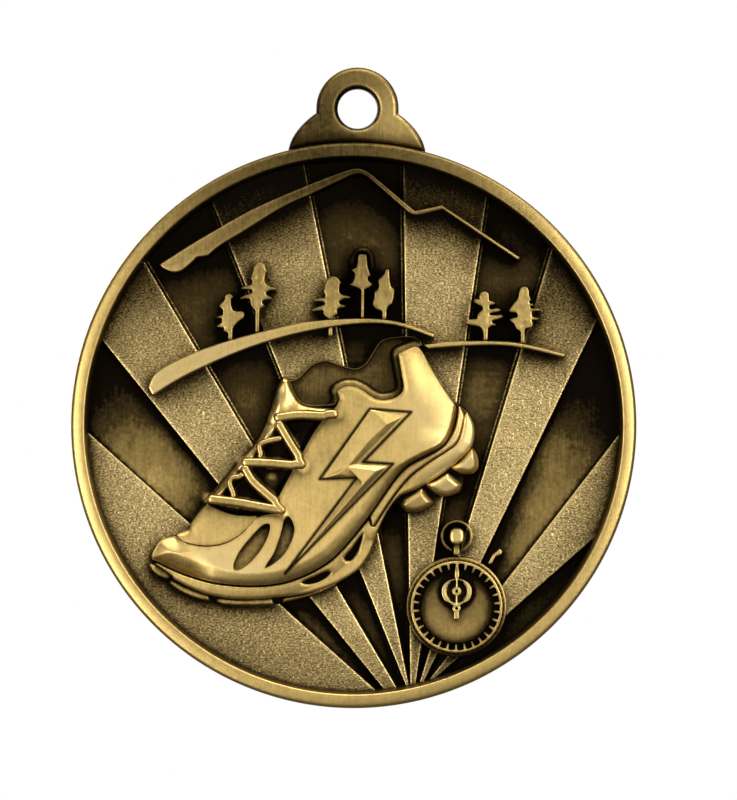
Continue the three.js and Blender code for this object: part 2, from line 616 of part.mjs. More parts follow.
// The whole shoe's silhouette, which its plinth fills.
const shoeSilhouette = [
  ...smooth([[-17.95, -12.3], [-17.75, -11.5], [-17.05, -10.4], [-16.2, -10.05], [-15, -9.65]], 2),
  [-14.55, -9.45], [-14.35, -8.85],
  ...smooth([
    [-13.6, -7.8], [-13.15, -6.85], [-12.6, -6.2], [-11.4, -4.7], [-10.3, -3.2], [-8.7, -1.6],
    [-7.85, 0.1], [-7.2, 2], [-6.75, 3.5], [-6.35, 4.25],
  ], 2),
  ...smooth([
    [-5.6, 4.05], [-4.95, 4.15], [-3.9, 5.2], [-2.6, 5.75], [-1.2, 5.35], [0.1, 5.05], [1, 5.55],
    [1.65, 6.55], [2.3, 7.5], [3.6, 7.9], [5.4, 7.92],
  ], 2),
  ...smooth([[6.1, 6.6], [7.1, 4.75], [8.1, 3.15], [9.3, 1.95], [10.1, 1.3], [10.7, 0], [10.6, -1.7]], 2),
  ...smooth([[10.95, -2.3], [11.15, -3], [11.1, -3.75], [10.65, -4.25], [9.8, -4.3]], 2),
  ...smooth([[9.75, -5.15], [9.5, -5.82], [8.65, -6.22], [7.6, -6.2]], 2),
  ...smooth([[7.2, -6.85], [6.5, -7.4], [5.5, -7.72], [4.65, -7.65], [4.2, -7.1]], 2),
  ...smooth([[3.75, -6.75], [3.1, -7.6], [2.3, -9.3], [1.6, -11.2], [0.6, -12.78], [-0.85, -13.75]], 2),
  ...smooth([
    [-1.3, -14.2], [-2.6, -14.82], [-4.2, -15.38], [-6.4, -15.9], [-9, -16.15], [-11.4, -16.05],
    [-13.6, -15.6], [-14.9, -15.1], [-16, -14.45], [-16.5, -13.95], [-17.1, -13.65], [-17.7, -13.2],
  ], 2),
];

// Tops of the shoe's pieces, in the order they are stacked.
const shoeTops = {
  lining: 2.55,
  tongue: 2.7,
  tread: 2.8,
  vamp: 3.15,
  midsole: 3.15,
  heelLug: 3.2,
  rib: 3.3,
  lace: 3.5,
  upper: 3.6,
  bolt: 3.85,
};

function buildShoe() {
  const piece = (name, outline, low, high, finish = "polished", holes = []) =>
    add(name, prism(outline, low, high, holes), finish);
  add("shoe_plinth", standing(shoeSilhouette, SHOE_PLINTH), "patina");
  piece("shoe_lining", liningOutline, SHOE_PLINTH, shoeTops.lining, "patina");
  piece("shoe_tongue", tongueOutline, SHOE_PLINTH, shoeTops.tongue, "patina");
  piece("shoe_vamp", vampOutline, SHOE_PLINTH, shoeTops.vamp);
  const leafHoles = leaves.map((leaf) => loop(leaf, 2));
  piece("shoe_upper", upperOutline(), SHOE_PLINTH, shoeTops.upper, "polished", leafHoles);
  const { heelRib, lower } = midsolePieces();
  const windowHoles = windows.map((window) => loop(window, 2));
  piece("midsole_rib", heelRib, SHOE_PLINTH, shoeTops.rib);
  piece("midsole", lower, SHOE_PLINTH, shoeTops.midsole, "polished", windowHoles);
  for (const [name, outline] of Object.entries(treads))
    piece(name, outline, SHOE_PLINTH, shoeTops.tread);
  heelLugs.forEach((outline, i) =>
    piece(`heel_lug_${i + 1}`, outline, SHOE_PLINTH, shoeTops.heelLug),
  );
  piece("shoe_bolt", boltOutline, shoeTops.upper, shoeTops.bolt);
}

// The laces lie on the tongue and stop short of the eyestay and the toe, on every side.
function buildLaces() {
  const shoe = prism(upperOutline(), SHOE_PLINTH, RIM_TOP).add(prism(vampOutline, SHOE_PLINTH, RIM_TOP));
  const sides = [[GAP, 0], [-GAP, 0], [0, GAP], [0, -GAP]];
  const around = sides.map(([x, z]) => shoe.translate(x, 0, z)).reduce((sum, solid) => sum.add(solid));
  laces.forEach((knots, i) => {
    const lace = prism(stroke(knots), shoeTops.tongue, shoeTops.lace).subtract(around);
    add(`lace_${i + 1}`, biggest(lace), "polished");
  });
}

// ---- stopwatch ----
const WATCH = { x: 9.3, z: -15.95, caseR: 4.45, bezelR: 4.05, dialR: 3.3 };
const watchTops = { case: 2.3, dial: 2.5, bow: 2.5, stem: 2.6, hand: 2.85, bezel: 3, crown: 3 };
const TICKS = 30;
const CROWN = { x: WATCH.x - 0.05, z: WATCH.z + 6.25 };
const BOW_R = 1.42;
const BOW_WIRE = 0.22;
const STEM = { half: 0.28, top: -0.71, foot: -1.96 };

const at = (centre, points) => points.map(([x, z]) => [centre.x + x, centre.z + z]);

// The bezel's inner edge, with a tooth for every tick. The tick at the top is longer, under the hand.
function bezelTeeth() {
  const teeth = [];
  const pitch = (2 * Math.PI) / TICKS;
  const root = 3.84;
  for (let i = 0; i < TICKS; i++) {
    const tip = i === Math.round(TICKS / 4) ? WATCH.dialR + 0.35 : WATCH.dialR + 0.02;
    const corners = [[root, -0.2], [tip, -0.14], [tip, 0.14], [root, 0.2]];
    for (const [r, turn] of corners) {
      const angle = (i + turn) * pitch;
      teeth.push([WATCH.x + r * Math.cos(angle), WATCH.z + r * Math.sin(angle)]);
    }
  }
  return teeth;
}

// The hand: a pointer, the toothless small ring it passes through, two eyelets and a short tail.
function buildHand() {
  const { dial, hand } = watchTops;
  const hub = 1.38;
  const ring = (z, outer, inner) => {
    const [x, up] = [WATCH.x, WATCH.z + z];
    return prism(circle(x, up, outer), dial, hand, [circle(x, up, inner, 24)]);
  };
  const bar = (half, low, high) =>
    prism(at(WATCH, [[-half, low], [half, low], [half, high], [-half, high]]), dial, hand);
  const parts = [
    bar(0.13, hub + 1, 3.15),
    bar(0.07, hub + 0.35, hub + 1.1),
    ring(hub, 1.32, 0.98),
    ring(hub, 0.42, 0.17),
    bar(0.07, hub - 1.2, hub - 0.35),
    ring(-0.1, 0.4, 0.16),
    bar(0.2, -1.05, -0.4),
  ];
  add("watch_hand", parts.reduce((sum, part) => sum.add(part)), "polished");
}

function buildCrown(clear) {
  const barrel = loop(
    [
      [-0.55, -0.3], [-0.35, -0.6], [0.4, -0.6], [0.55, -0.3], [0.55, 0.35], [0.3, 0.62], [-0.3, 0.62],
      [-0.55, 0.35],
    ],
    2,
  );
  add("watch_crown", standing(at(CROWN, barrel), watchTops.crown), "polished");
  const { half, top, foot } = STEM;
  const stem = (grow) => [
    [-half - grow, top], [half + grow, top], [half + grow, foot], [-half - grow, foot],
  ];
  add("watch_stem", standing(at(CROWN, stem(0)), watchTops.stem).subtract(clear), "patina");
  const bow = standing(circle(CROWN.x, CROWN.z, BOW_R, 40), watchTops.bow, [
    circle(CROWN.x, CROWN.z, BOW_R - BOW_WIRE, 40),
  ]);
  const stemClear = prism(at(CROWN, stem(GAP)), -1, RIM_TOP);
  add("watch_bow", bow.subtract(stemClear), "polished");
}

function buildWatch() {
  const { x, z } = WATCH;
  const base = watchTops.case;
  add("watch_case", standing(circle(x, z, WATCH.caseR, 64), base), "patina");
  const bezel = prism(circle(x, z, WATCH.bezelR, 60), base, watchTops.bezel, [bezelTeeth()]);
  add("watch_bezel", bezel, "polished");
  const dial = prism(circle(x, z, WATCH.dialR - GAP, 48), base, watchTops.dial);
  add("watch_dial", dial, "polished");
  buildHand();
  const clear = prism(circle(x, z, WATCH.caseR + GAP, 64), -1, RIM_TOP);
  buildCrown(clear);
  const pusher = [
    [12.05, -12.05], [12.35, -12.15], [12.72, -11.45], [13.25, -11.25], [13.3, -10.95], [13.05, -10.8],
    [12.62, -11.15], [12.45, -11.3],
  ];
  add("watch_pusher", standing(pusher, watchTops.stem).subtract(clear), "polished");
}

buildDisc();
buildLug();
buildSunburst();
buildMountain();
buildHills();
buildPines();
buildShoe();
buildLaces();
buildWatch();

export default medal;
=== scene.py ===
"""A cast finisher medal, seen as it hangs: every feature of the relief is its own piece round the CAD frame.

Artwork is in millimetres from the disc's centre (x to the right, z up), and depth is a height above the
plane of the rim's back. place() turns these into the row frame, in metres.
"""

import math

import bpy
import numpy as np
from mathutils import Matrix, Vector
from mathutils.bvhtree import BVHTree
from mathutils.geometry import convex_hull_2d, delaunay_2d_cdt
from mathutils.kdtree import KDTree


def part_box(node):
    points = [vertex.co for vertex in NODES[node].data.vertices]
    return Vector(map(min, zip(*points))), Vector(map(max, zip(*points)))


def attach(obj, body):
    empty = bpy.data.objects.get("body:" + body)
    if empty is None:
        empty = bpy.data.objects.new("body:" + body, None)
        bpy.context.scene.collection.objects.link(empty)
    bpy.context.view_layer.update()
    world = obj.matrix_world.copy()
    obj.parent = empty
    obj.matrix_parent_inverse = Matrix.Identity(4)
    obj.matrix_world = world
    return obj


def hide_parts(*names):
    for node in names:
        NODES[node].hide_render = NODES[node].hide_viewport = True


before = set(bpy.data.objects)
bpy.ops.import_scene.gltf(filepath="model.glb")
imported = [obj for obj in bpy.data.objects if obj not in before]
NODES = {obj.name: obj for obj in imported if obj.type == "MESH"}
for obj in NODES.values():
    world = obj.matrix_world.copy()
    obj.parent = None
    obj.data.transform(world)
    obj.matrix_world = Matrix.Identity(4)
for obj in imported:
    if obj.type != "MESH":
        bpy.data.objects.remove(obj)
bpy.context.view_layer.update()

MM = 0.001

# ---- the frame's own measures ----
PLATE_LOW, PLATE_HIGH = (np.array(corner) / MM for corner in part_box("backplate"))
DISC_X = (PLATE_LOW[0] + PLATE_HIGH[0]) / 2
DISC_Z = (PLATE_LOW[2] + PLATE_HIGH[2]) / 2
DISC_R = (PLATE_HIGH[0] - PLATE_LOW[0]) / 2
BACK_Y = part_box("back_rim")[1].y / MM


def front_of(node):
    """Height of a CAD node's front above the back of the rim."""
    return BACK_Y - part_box(node)[0].y / MM


def back_of(node):
    return BACK_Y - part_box(node)[1].y / MM


PLATE_TOP = front_of("backplate")
BACK_FIELD = back_of("backplate")
RAY_TOP = front_of("ray_1")
SKYLINE_TOP = front_of("hill_left")
RIM_TOP = front_of("rim")
LUG_FRONT = front_of("ribbon_lug")
LUG_BACK = back_of("ribbon_lug")
EYE_Z = -DISC_Z  # the row frame's origin is the middle of the eye


def place(points, heights):
    """Artwork points and heights as row-frame metres."""
    points = np.asarray(points, float)
    y = BACK_Y - np.broadcast_to(heights, len(points))
    return np.column_stack([points[:, 0] + DISC_X, y, points[:, 1] + DISC_Z]) * MM


# ---- arithmetic on outlines ----
def smoothstep(low, high, x):
    t = np.clip((x - low) / (high - low), 0, 1)
    return t * t * (3 - 2 * t)


def off_centre(points):
    """Distance from the disc's centre, or from any other point that has been taken off the points."""
    return np.hypot(points[:, 0], points[:, 1])


def spot(points, middle, size):
    """A soft spot: 1 at its middle, fading out over its size across and up."""
    return np.exp(-(((points - middle) / size) ** 2).sum(1))


def quarter(t):
    """A quarter-round: 0 at the edge, rising steeply to 1."""
    t = np.clip(t, 0, 1)
    return np.sqrt(1 - (1 - t) ** 2)


def dense(loop, closed, step=0.12):
    """The loop with its long segments cut up."""
    loop = np.asarray(loop, float)
    following = np.roll(loop, -1, 0) if closed else np.concatenate([loop[1:], loop[-1:]])
    counts = np.maximum(1, np.ceil(np.linalg.norm(following - loop, axis=1) / step)).astype(int)
    which = np.repeat(np.arange(len(loop)), counts)
    part = np.arange(counts.sum()) - np.repeat(np.cumsum(counts) - counts, counts)
    return loop[which] + (following - loop)[which] * (part / counts[which])[:, None]


def distance(points, loops, closed=True):
    """Distance from each point to the nearest of the loops."""
    points = np.asarray(points, float)
    if not len(points):
        return np.zeros(0)
    nodes, before, after = [], [], []
    for loop in loops:
        loop = dense(loop, closed)
        nodes.append(loop)
        before.append(np.roll(loop, 1, 0) if closed else np.concatenate([loop[:1], loop[:-1]]))
        after.append(np.roll(loop, -1, 0) if closed else np.concatenate([loop[1:], loop[-1:]]))
    nodes, before, after = map(np.concatenate, (nodes, before, after))
    tree = KDTree(len(nodes))
    for i, (x, z) in enumerate(nodes.tolist()):
        tree.insert((x, z, 0), i)
    tree.balance()
    nearest = np.array([tree.find((x, z, 0))[1] for x, z in points.tolist()])
    best = np.full(len(points), np.inf)
    a = nodes[nearest]
    for b in (before[nearest], after[nearest]):
        ab = b - a
        t = ((points - a) * ab).sum(1) / np.maximum((ab**2).sum(1), 1e-12)
        gap = points - a - np.clip(t, 0, 1)[:, None] * ab
        best = np.minimum(best, (gap**2).sum(1))
    return np.sqrt(best)


def inside(points, loops, chunk=400):
    """Whether each point is inside the loops, by the even-odd rule."""
    points = np.asarray(points, float)
    a, b = np.concatenate(loops), np.concatenate([np.roll(loop, -1, 0) for loop in loops])
    order = np.argsort(points[:, 1])
    low, high = np.minimum(a[:, 1], b[:, 1]), np.maximum(a[:, 1], b[:, 1])
    out = np.zeros(len(points), bool)
    for i in range(0, len(points), chunk):
        rows = order[i : i + chunk]
        x, z = points[rows, 0][:, None], points[rows, 1][:, None]
        near = (low <= z[-1]) & (high > z[0])
        pa, pb = a[near], b[near]
        if not len(pa):
            continue
        rise = pb[:, 1] - pa[:, 1]
        rise = np.where(np.abs(rise) < 1e-12, 1e-12, rise)
        spans = (pa[:, 1] > z) != (pb[:, 1] > z)
        cross = pa[:, 0] + (z - pa[:, 1]) / rise * (pb[:, 0] - pa[:, 0])
        out[rows] = (spans & (x < cross)).sum(1) % 2 == 1
    return out


def area_of(loop):
    x, z = np.asarray(loop).T
    return 0.5 * np.sum(x * np.roll(z, -1) - np.roll(x, -1) * z)


def cad_loops(node, back=False, depth=None):
    """The outlines of a CAD node's flat front, or back, or of the ledge at a depth, the largest first."""
    mesh = NODES[node].data
    co = np.empty(len(mesh.vertices) * 3)
    mesh.vertices.foreach_get("co", co)
    co = co.reshape(-1, 3) / MM
    mesh.calc_loop_triangles()
    tri = np.empty(len(mesh.loop_triangles) * 3, np.int32)
    mesh.loop_triangles.foreach_get("vertices", tri)
    unique, where = np.unique(np.round(co, 3), axis=0, return_inverse=True)
    tri = where.ravel()[tri].reshape(-1, 3)
    level = unique[:, 1].max() if back else unique[:, 1].min()
    if depth is None:
        tri = tri[(np.abs(unique[tri][:, :, 1] - level) < 2e-3).all(1)]
    else:
        tri = tri[(unique[tri][:, :, 1] < level + depth + 2e-3).all(1)]
    edges = {(int(t[i]), int(t[(i + 1) % 3])) for t in tri for i in range(3)}
    following = {a: b for a, b in edges if (b, a) not in edges}
    loops = []
    while following:
        start, here = following.popitem()
        loop = [start]
        while here != start:
            loop.append(here)
            here = following.pop(here)
        loops.append(unique[loop][:, [0, 2]] - (DISC_X, DISC_Z))
    return sorted(loops, key=lambda loop: -abs(area_of(loop)))


def refine(loop, step, corner=38):
    """The loop resampled at the step along smooth curves between its corners, whose angle is in degrees."""
    loop = np.asarray(loop, float)
    n = len(loop)
    before, after = np.roll(loop, 1, 0), np.roll(loop, -1, 0)
    into, out_of = loop - before, after - loop
    turn = np.abs(np.arctan2(np.cross(into, out_of), (into * out_of).sum(1)))
    sharp = turn > math.radians(corner)
    result = []
    for i in range(n):
        j = (i + 1) % n
        p1, p2 = loop[i], loop[j]
        p0 = 2 * p1 - p2 if sharp[i] else loop[i - 1]
        p3 = 2 * p2 - p1 if sharp[j] else loop[(j + 1) % n]
        reach = np.linalg.norm(p2 - p1)
        first, last = np.linalg.norm(p1 - p0), np.linalg.norm(p3 - p2)
        m1 = (p2 - p0) / (reach + first) * reach
        m2 = (p3 - p1) / (reach + last) * reach
        count = max(1, math.ceil(reach / step - 0.25))
        t = (np.arange(count) / count)[:, None]
        result.append(
            (2 * t**3 - 3 * t**2 + 1) * p1
            + (t**3 - 2 * t**2 + t) * m1
            + (3 * t**2 - 2 * t**3) * p2
            + (t**3 - t**2) * m2
        )
    return np.concatenate(result)


def soften(loop, step, radius):
    """The resampled loop with its corners rounded to about the radius."""
    if radius <= 0:
        return loop
    reach = max(1, round(2 * radius / step))
    weights = np.exp(-0.5 * (np.arange(-reach, reach + 1) * step / (0.6 * radius)) ** 2)
    weights /= weights.sum()
    return sum(w * np.roll(loop, k - reach, 0) for k, w in enumerate(weights))


def evenly_closed(loop, step):
    """The loop with its points set evenly at about the step."""
    path = np.concatenate([loop, loop[:1]])
    long = np.linalg.norm(np.diff(path, axis=0), axis=1).sum()
    return evenly(path, max(8, round(long / step)) + 1)[:-1]


def left_of(along, least=0.0):
    """Unit vectors to the left of the given ones."""
    along = along / np.maximum(np.linalg.norm(along, axis=1), least)[:, None]
    return np.column_stack([-along[:, 1], along[:, 0]])


def normals_of(loop):
    """Unit normals that point into an anticlockwise loop, or into the material beside a clockwise hole."""
    return left_of(np.roll(loop, -1, 0) - np.roll(loop, 1, 0), 1e-9)


def oriented(loops):
    """The first loop anticlockwise, and the holes clockwise."""
    return [loop if (area_of(loop) > 0) == (i == 0) else loop[::-1] for i, loop in enumerate(loops)]


def grown(loop, by, step=0.1):
    """An anticlockwise loop moved outwards."""
    loop = refine(oriented([loop])[0], step)
    moved = loop - normals_of(loop) * by
    return moved[distance(moved, [loop]) > abs(by) * 0.97]


def outline_of(node, by, step, radius=0.0):
    """The largest outline of a CAD node, moved outwards, resampled and with its corners rounded."""
    loop = cad_loops(node)[0]
    return soften(refine(grown(loop, by) if by else loop, step), step, radius)


def spine(loop, count=40):
    """The middle line of a long thin loop."""
    loop = dense(loop, True, 0.05)
    apart = ((loop[:, None, :] - loop[None, :, :]) ** 2).sum(2)
    i, j = sorted(np.unravel_index(apart.argmax(), apart.shape))
    sides = (loop[i : j + 1], np.concatenate([loop[j:], loop[: i + 1]])[::-1])
    return np.mean([evenly(side, count) for side in sides], 0)


def evenly(path, count):
    """A path's points, set evenly along it."""
    run = np.concatenate([[0], np.cumsum(np.linalg.norm(np.diff(path, axis=0), axis=1))])
    at = np.linspace(0, run[-1], count)
    return np.column_stack([np.interp(at, run, path[:, k]) for k in (0, 1)])


def lengthened(path, first, last):
    """The path with straight runs added at its ends."""
    middle = len(path) // 2
    a, b = path[0] - path[middle], path[-1] - path[middle]
    start = path[0] + a / np.linalg.norm(a) * first
    end = path[-1] + b / np.linalg.norm(b) * last
    return np.concatenate([[start], path, [end]])


def band(path, radius, step=0.08):
    """The outline of a round-ended stroke along a path."""
    path = evenly(path, max(8, round(len(path) * 0.8)))
    side = left_of(np.gradient(path, axis=0)) * radius
    turn = np.linspace(0, math.pi, 9)[1:-1]
    cap = lambda centre, out: [
        centre + out * math.cos(t) + np.array([out[1], -out[0]]) * math.sin(t) for t in turn
    ]
    loop = [*(path + side), *cap(path[-1], side[-1]), *(path - side)[::-1], *cap(path[0], -side[0])]
    return refine(np.array(loop), step, corner=80)


def domed(low, rise, width):
    """A relief's top that rises in a quarter-round along its edge."""
    return lambda points, d: low + rise * quarter(d / width)


# ---- noise ----
def hashed(i, j, seed):
    """A repeatable random number from 0 to 1 for each pair of integers."""
    n = (i * 374761393 + j * 668265263 + seed * 974711) & 0xFFFFFFFF
    n = ((n ^ (n >> 13)) * 1274126177) & 0xFFFFFFFF
    return ((n ^ (n >> 16)) & 0xFFFFFF) / 0xFFFFFF


def between(corner, f):
    """The value between a cell's four corners, at the shares f of its sides."""
    low = corner(0, 0) * (1 - f[:, 0]) + corner(1, 0) * f[:, 0]
    high = corner(0, 1) * (1 - f[:, 0]) + corner(1, 1) * f[:, 0]
    return low * (1 - f[:, 1]) + high * f[:, 1]


def value_noise(points, size, seed):
    p = np.asarray(points) / size
    cell = np.floor(p).astype(np.int64)
    f = p - cell
    f = f * f * (3 - 2 * f)
    return between(lambda di, dj: hashed(cell[:, 0] + di, cell[:, 1] + dj, seed), f)


def grains(points, size, seed):
    """Distance to the nearest of scattered points, in units of their spacing."""
    p = np.asarray(points) / size
    cell = np.floor(p).astype(np.int64)
    nearest = np.full(len(p), 9.0)
    for di in (-1, 0, 1):
        for dj in (-1, 0, 1):
            i, j = cell[:, 0] + di, cell[:, 1] + dj
            x = i + hashed(i, j, seed)
            z = j + hashed(i, j, seed + 7)
            nearest = np.minimum(nearest, (p[:, 0] - x) ** 2 + (p[:, 1] - z) ** 2)
    return np.sqrt(nearest)


def stipple(points):
    """The grain left by the die's texture, from about -1 to 1, with bumps about 0.25 mm apart."""
    return 1.1 * (value_noise(points, 0.16, 5) - 0.5) + 0.9 * (0.55 - grains(points, 0.27, 3))


# ---- relief pieces ----
specs = []
PLAIN_RELIEF = {
    "step": 0.13,  # the grid of its top
    "bevel": 0.07,
    "draft": 0.08,  # how far the walls lean out for each unit of height
    "wall": ((0.5, 0.5),),  # the walls' shape, as shares of the lean and of the drop
    "wear": 0.16,  # the extra polish along the edges, and a painted highlight there
    "shade": 0.75,  # the patina towards the foot
    "tarnished": 1.0,  # how far the piece shares in the painted shade towards the disc's top
    "grooves": (),  # loops that hold a dark line
    "groove": 0.13,  # its width
    "line": 0.0,  # a painted highlight on the narrow step near the foot of the walls
    "dulled": None,  # a function of points whose value multiplies the polish: painted light and shade, and other changes of tone
    "finish": "polished",
    "slot": "polished_brass",
}


def relief(name, loops, top, foot, **looks):
    """Notes a piece: outlines, a top that is a number or a function of points and their distance to the edge,
    the height of its walls' foot, and what differs from PLAIN_RELIEF. It replaces the CAD node of its name,
    if there is one."""
    spec = {**PLAIN_RELIEF, **looks, "name": name, "foot": foot}
    spec["loops"] = oriented([np.asarray(loop, float) for loop in loops])
    spec["replaces"] = [name] if name in NODES else []
    tops = top if callable(top) else (lambda p, d: np.full(len(p), float(top)))
    bevel = spec["bevel"]

    def rounded(points, d):
        drop = np.where(d < bevel, 1 - quarter(d / max(bevel, 1e-6)), 0) * bevel
        return tops(points, d) - drop

    spec["top"] = rounded
    specs.append(spec)


def hex_grid(low, high, step):
    """Points of a triangular grid over a box."""
    rows = np.arange(low[1], high[1] + step, step * math.sqrt(3) / 2)
    columns = np.arange(low[0], high[0] + step, step)
    x, z = np.meshgrid(columns, rows)
    x = x + (np.arange(len(rows)) % 2 * step / 2)[:, None]
    return np.column_stack([x.ravel(), z.ravel()])


def triangulate(points, loops, winding):
    """Triangles over the points, whose first ones are the loops' own, kept where they lie inside. They are
    anticlockwise for a winding of 1, and clockwise for -1."""
    edges, start = [], 0
    for loop in loops:
        n = len(loop)
        edges += [(start + i, start + (i + 1) % n) for i in range(n)]
        start += n
    made = delaunay_2d_cdt([Vector(p) for p in points.tolist()], edges, [], 0, 1e-9, False)
    flat = np.array([tuple(v) for v in made[0]])
    faces = np.array([f for f in made[2] if len(f) == 3], int)
    faces = faces[inside(flat[faces].mean(1), loops)]
    # where an outline touches itself, the crossing becomes the nearest outline point
    for k in range(len(points), len(flat)):
        faces[faces == k] = np.hypot(*(flat[:start] - flat[k]).T).argmin()
    a, b, c = faces.T
    faces = faces[(a != b) & (b != c) & (c != a)]
    a, b, c = (flat[faces[:, k]] for k in range(3))
    wrong = np.cross(b - a, c - a) * winding < 0
    return flat[: len(points)], np.where(wrong[:, None], faces[:, ::-1], faces)


def geometry(spec):
    """Vertices as artwork points with heights, faces that look out, and each vertex's share of the drop."""
    loops, step, bevel, foot = (spec[key] for key in ("loops", "step", "bevel", "foot"))
    edge = np.concatenate(loops)
    rings = [edge]
    for inset in (0.35 * bevel, bevel, bevel + 0.45 * step):
        ring = np.concatenate([loop + normals_of(loop) * inset for loop in loops])
        clear = distance(ring, loops) > 0.93 * inset
        rings.append(ring[clear & inside(ring, loops)])
    grid = hex_grid(edge.min(0), edge.max(0), step)
    grid = grid[inside(grid, loops)]
    grid = grid[distance(grid, loops) > bevel + 0.95 * step]
    flat, faces = triangulate(np.concatenate([*rings, grid]), loops, 1)
    count = len(edge)
    if len(flat) < count or np.abs(flat[:count] - edge).max() > 1e-6:
        raise ValueError(f"{spec['name']}: the outline crosses itself")
    heights = spec["top"](flat, distance(flat, loops))
    lean = np.maximum(heights[:count] - foot, 0) * spec["draft"]
    inwards = np.concatenate([normals_of(loop) for loop in loops])
    points, levels, shares = [flat], [heights], [np.zeros(len(flat))]
    walls = []
    above = 0
    for leaning, drop in (*spec["wall"], (1.0, 1.0)):
        below = sum(map(len, points))
        points.append(edge - inwards * (lean * leaning)[:, None])
        levels.append(heights[:count] + (foot - heights[:count]) * drop)
        shares.append(np.full(count, drop))
        start = 0
        for loop in loops:
            i = np.arange(len(loop))
            a, b = start + i, start + (i + 1) % len(loop)
            walls.append(np.column_stack([above + b, above + a, below + a]))
            walls.append(np.column_stack([above + b, below + a, below + b]))
            start += len(loop)
        above = below
    base = triangulate(edge, loops, -1)[1]
    faces = np.concatenate([faces, *walls, base + above])
    return np.concatenate(points), np.concatenate(levels), faces, np.concatenate(shares)


# ---- the height map, and how open each spot of it is ----
MAP_STEP = 0.1
MAP_HALF = 33.0
MAP_N = int(2 * MAP_HALF / MAP_STEP)
SIGHT = 9.0  # how far a cell looks for what stands above it
SIGHT_CELLS = 100
DIRECTIONS = 24
LIGHT_FROM = math.radians(72)  # the side the light comes from, so that what stands that way paints a shadow


def map_fill(height_map, spec):
    """Raises the map to the piece's top wherever the piece is."""
    edge = np.concatenate(spec["loops"])
    low = np.floor((edge.min(0) + MAP_HALF) / MAP_STEP).astype(int)
    high = np.ceil((edge.max(0) + MAP_HALF) / MAP_STEP).astype(int)
    i, j = np.meshgrid(np.arange(low[0], high[0] + 1), np.arange(low[1], high[1] + 1))
    cells = np.column_stack([i.ravel(), j.ravel()])
    points = (cells + 0.5) * MAP_STEP - MAP_HALF
    within = inside(points, spec["loops"])
    cells, points = cells[within], points[within]
    heights = spec["top"](points, distance(points, spec["loops"]))
    here = height_map[cells[:, 1], cells[:, 0]]
    height_map[cells[:, 1], cells[:, 0]] = np.maximum(here, heights)


def openness(height_map):
    """How clear its surroundings leave each cell, from 0 to 1, for the patina in the hollows; what stands
    above it counts the most, which paints in the shadows of the light from above."""
    padded = np.pad(height_map, SIGHT_CELLS, mode="edge")
    total = np.zeros_like(height_map)
    weights = 0.0
    for k in range(DIRECTIONS):
        angle = 2 * math.pi * (k + 0.5) / DIRECTIONS
        horizon = np.zeros_like(height_map)
        for reach in np.geomspace(0.15, SIGHT, 20):
            dx = round(math.cos(angle) * reach / MAP_STEP)
            dz = round(math.sin(angle) * reach / MAP_STEP)
            row, column = SIGHT_CELLS + dz, SIGHT_CELLS + dx
            other = padded[row : row + MAP_N, column : column + MAP_N]
            far = max(math.hypot(dx, dz) * MAP_STEP, MAP_STEP)
            horizon = np.maximum(horizon, (other - height_map) / far)
        weight = 1 + 0.85 * math.cos(angle - LIGHT_FROM)
        total += weight * (1 - horizon / np.sqrt(1 + horizon**2))
        weights += weight
    return blurred(total / weights, 1.2)


def blurred(field, cells):
    """The map, smoothed over the number of cells."""
    reach = math.ceil(3 * cells)
    weights = np.exp(-0.5 * (np.arange(-reach, reach + 1) / cells) ** 2)
    weights /= weights.sum()
    for axis in (0, 1):
        field = sum(w * np.roll(field, k - reach, axis) for k, w in enumerate(weights))
    return field


def sampled(field, points):
    """A map's value at each point."""
    u = (np.asarray(points) + MAP_HALF) / MAP_STEP - 0.5
    cell = np.clip(np.floor(u).astype(int), 0, MAP_N - 2)
    f = np.clip(u - cell, 0, 1)
    return between(lambda di, dj: field[cell[:, 1] + dj, cell[:, 0] + di], f)


def tarnish(points):
    """Painted shade: darker towards the disc's top, under the lug, where the light from above falls least."""
    x, z = points[:, 0], points[:, 1]
    top = np.exp(-(((x + 2) / 17) ** 2) - ((np.minimum(z, 24) - 24) / 11) ** 2)
    return 1 - 0.5 * top


# ---- Blender objects ----
def mesh_object(name, vertices, faces, openness_values, material, smooth_angle=40):
    mesh = bpy.data.meshes.new(name)
    faces = [tuple(f) for f in (faces.tolist() if hasattr(faces, "tolist") else faces)]
    mesh.from_pydata(np.asarray(vertices).tolist(), [], faces)
    mesh.validate()
    attribute = mesh.attributes.new("open", "FLOAT", "POINT")
    attribute.data.foreach_set("value", np.asarray(openness_values, np.float32))
    mesh.shade_smooth()
    mesh.set_sharp_from_angle(angle=math.radians(smooth_angle))
    mesh.materials.append(material)
    piece = bpy.data.objects.new(name, mesh)
    bpy.context.scene.collection.objects.link(piece)
    return piece


def keep(piece, replaces=()):
    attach(piece, "root")
    if replaces:
        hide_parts(*replaces)
    return piece


# ---- materials ----
def ramp(nodes, stops):
    node = nodes.new("ShaderNodeValToRGB")
    while len(node.color_ramp.elements) < len(stops):
        node.color_ramp.elements.new(0.5)
    for element, (position, colour) in zip(node.color_ramp.elements, stops):
        element.position = position
        element.color = (*colour, 1)
    return node


def math_node(nodes, links, operation, *values):
    """A math node's output, from numbers and other nodes' outputs."""
    node = nodes.new("ShaderNodeMath")
    node.operation = operation
    for socket, value in zip(node.inputs, values):
        if isinstance(value, (int, float)):
            socket.default_value = value
        else:
            links.new(value, socket)
    return node.outputs[0]


DARK = (0.006, 0.004, 0.002)
BROWN = (0.055, 0.036, 0.011)
OLIVE = (0.30, 0.205, 0.065)
BRASS = (0.80, 0.56, 0.19)
# the palest brass at the top of the ramp, washed out to paint the glare of highlights
PALE_SHEEN = (0.95, 0.71, 0.29)


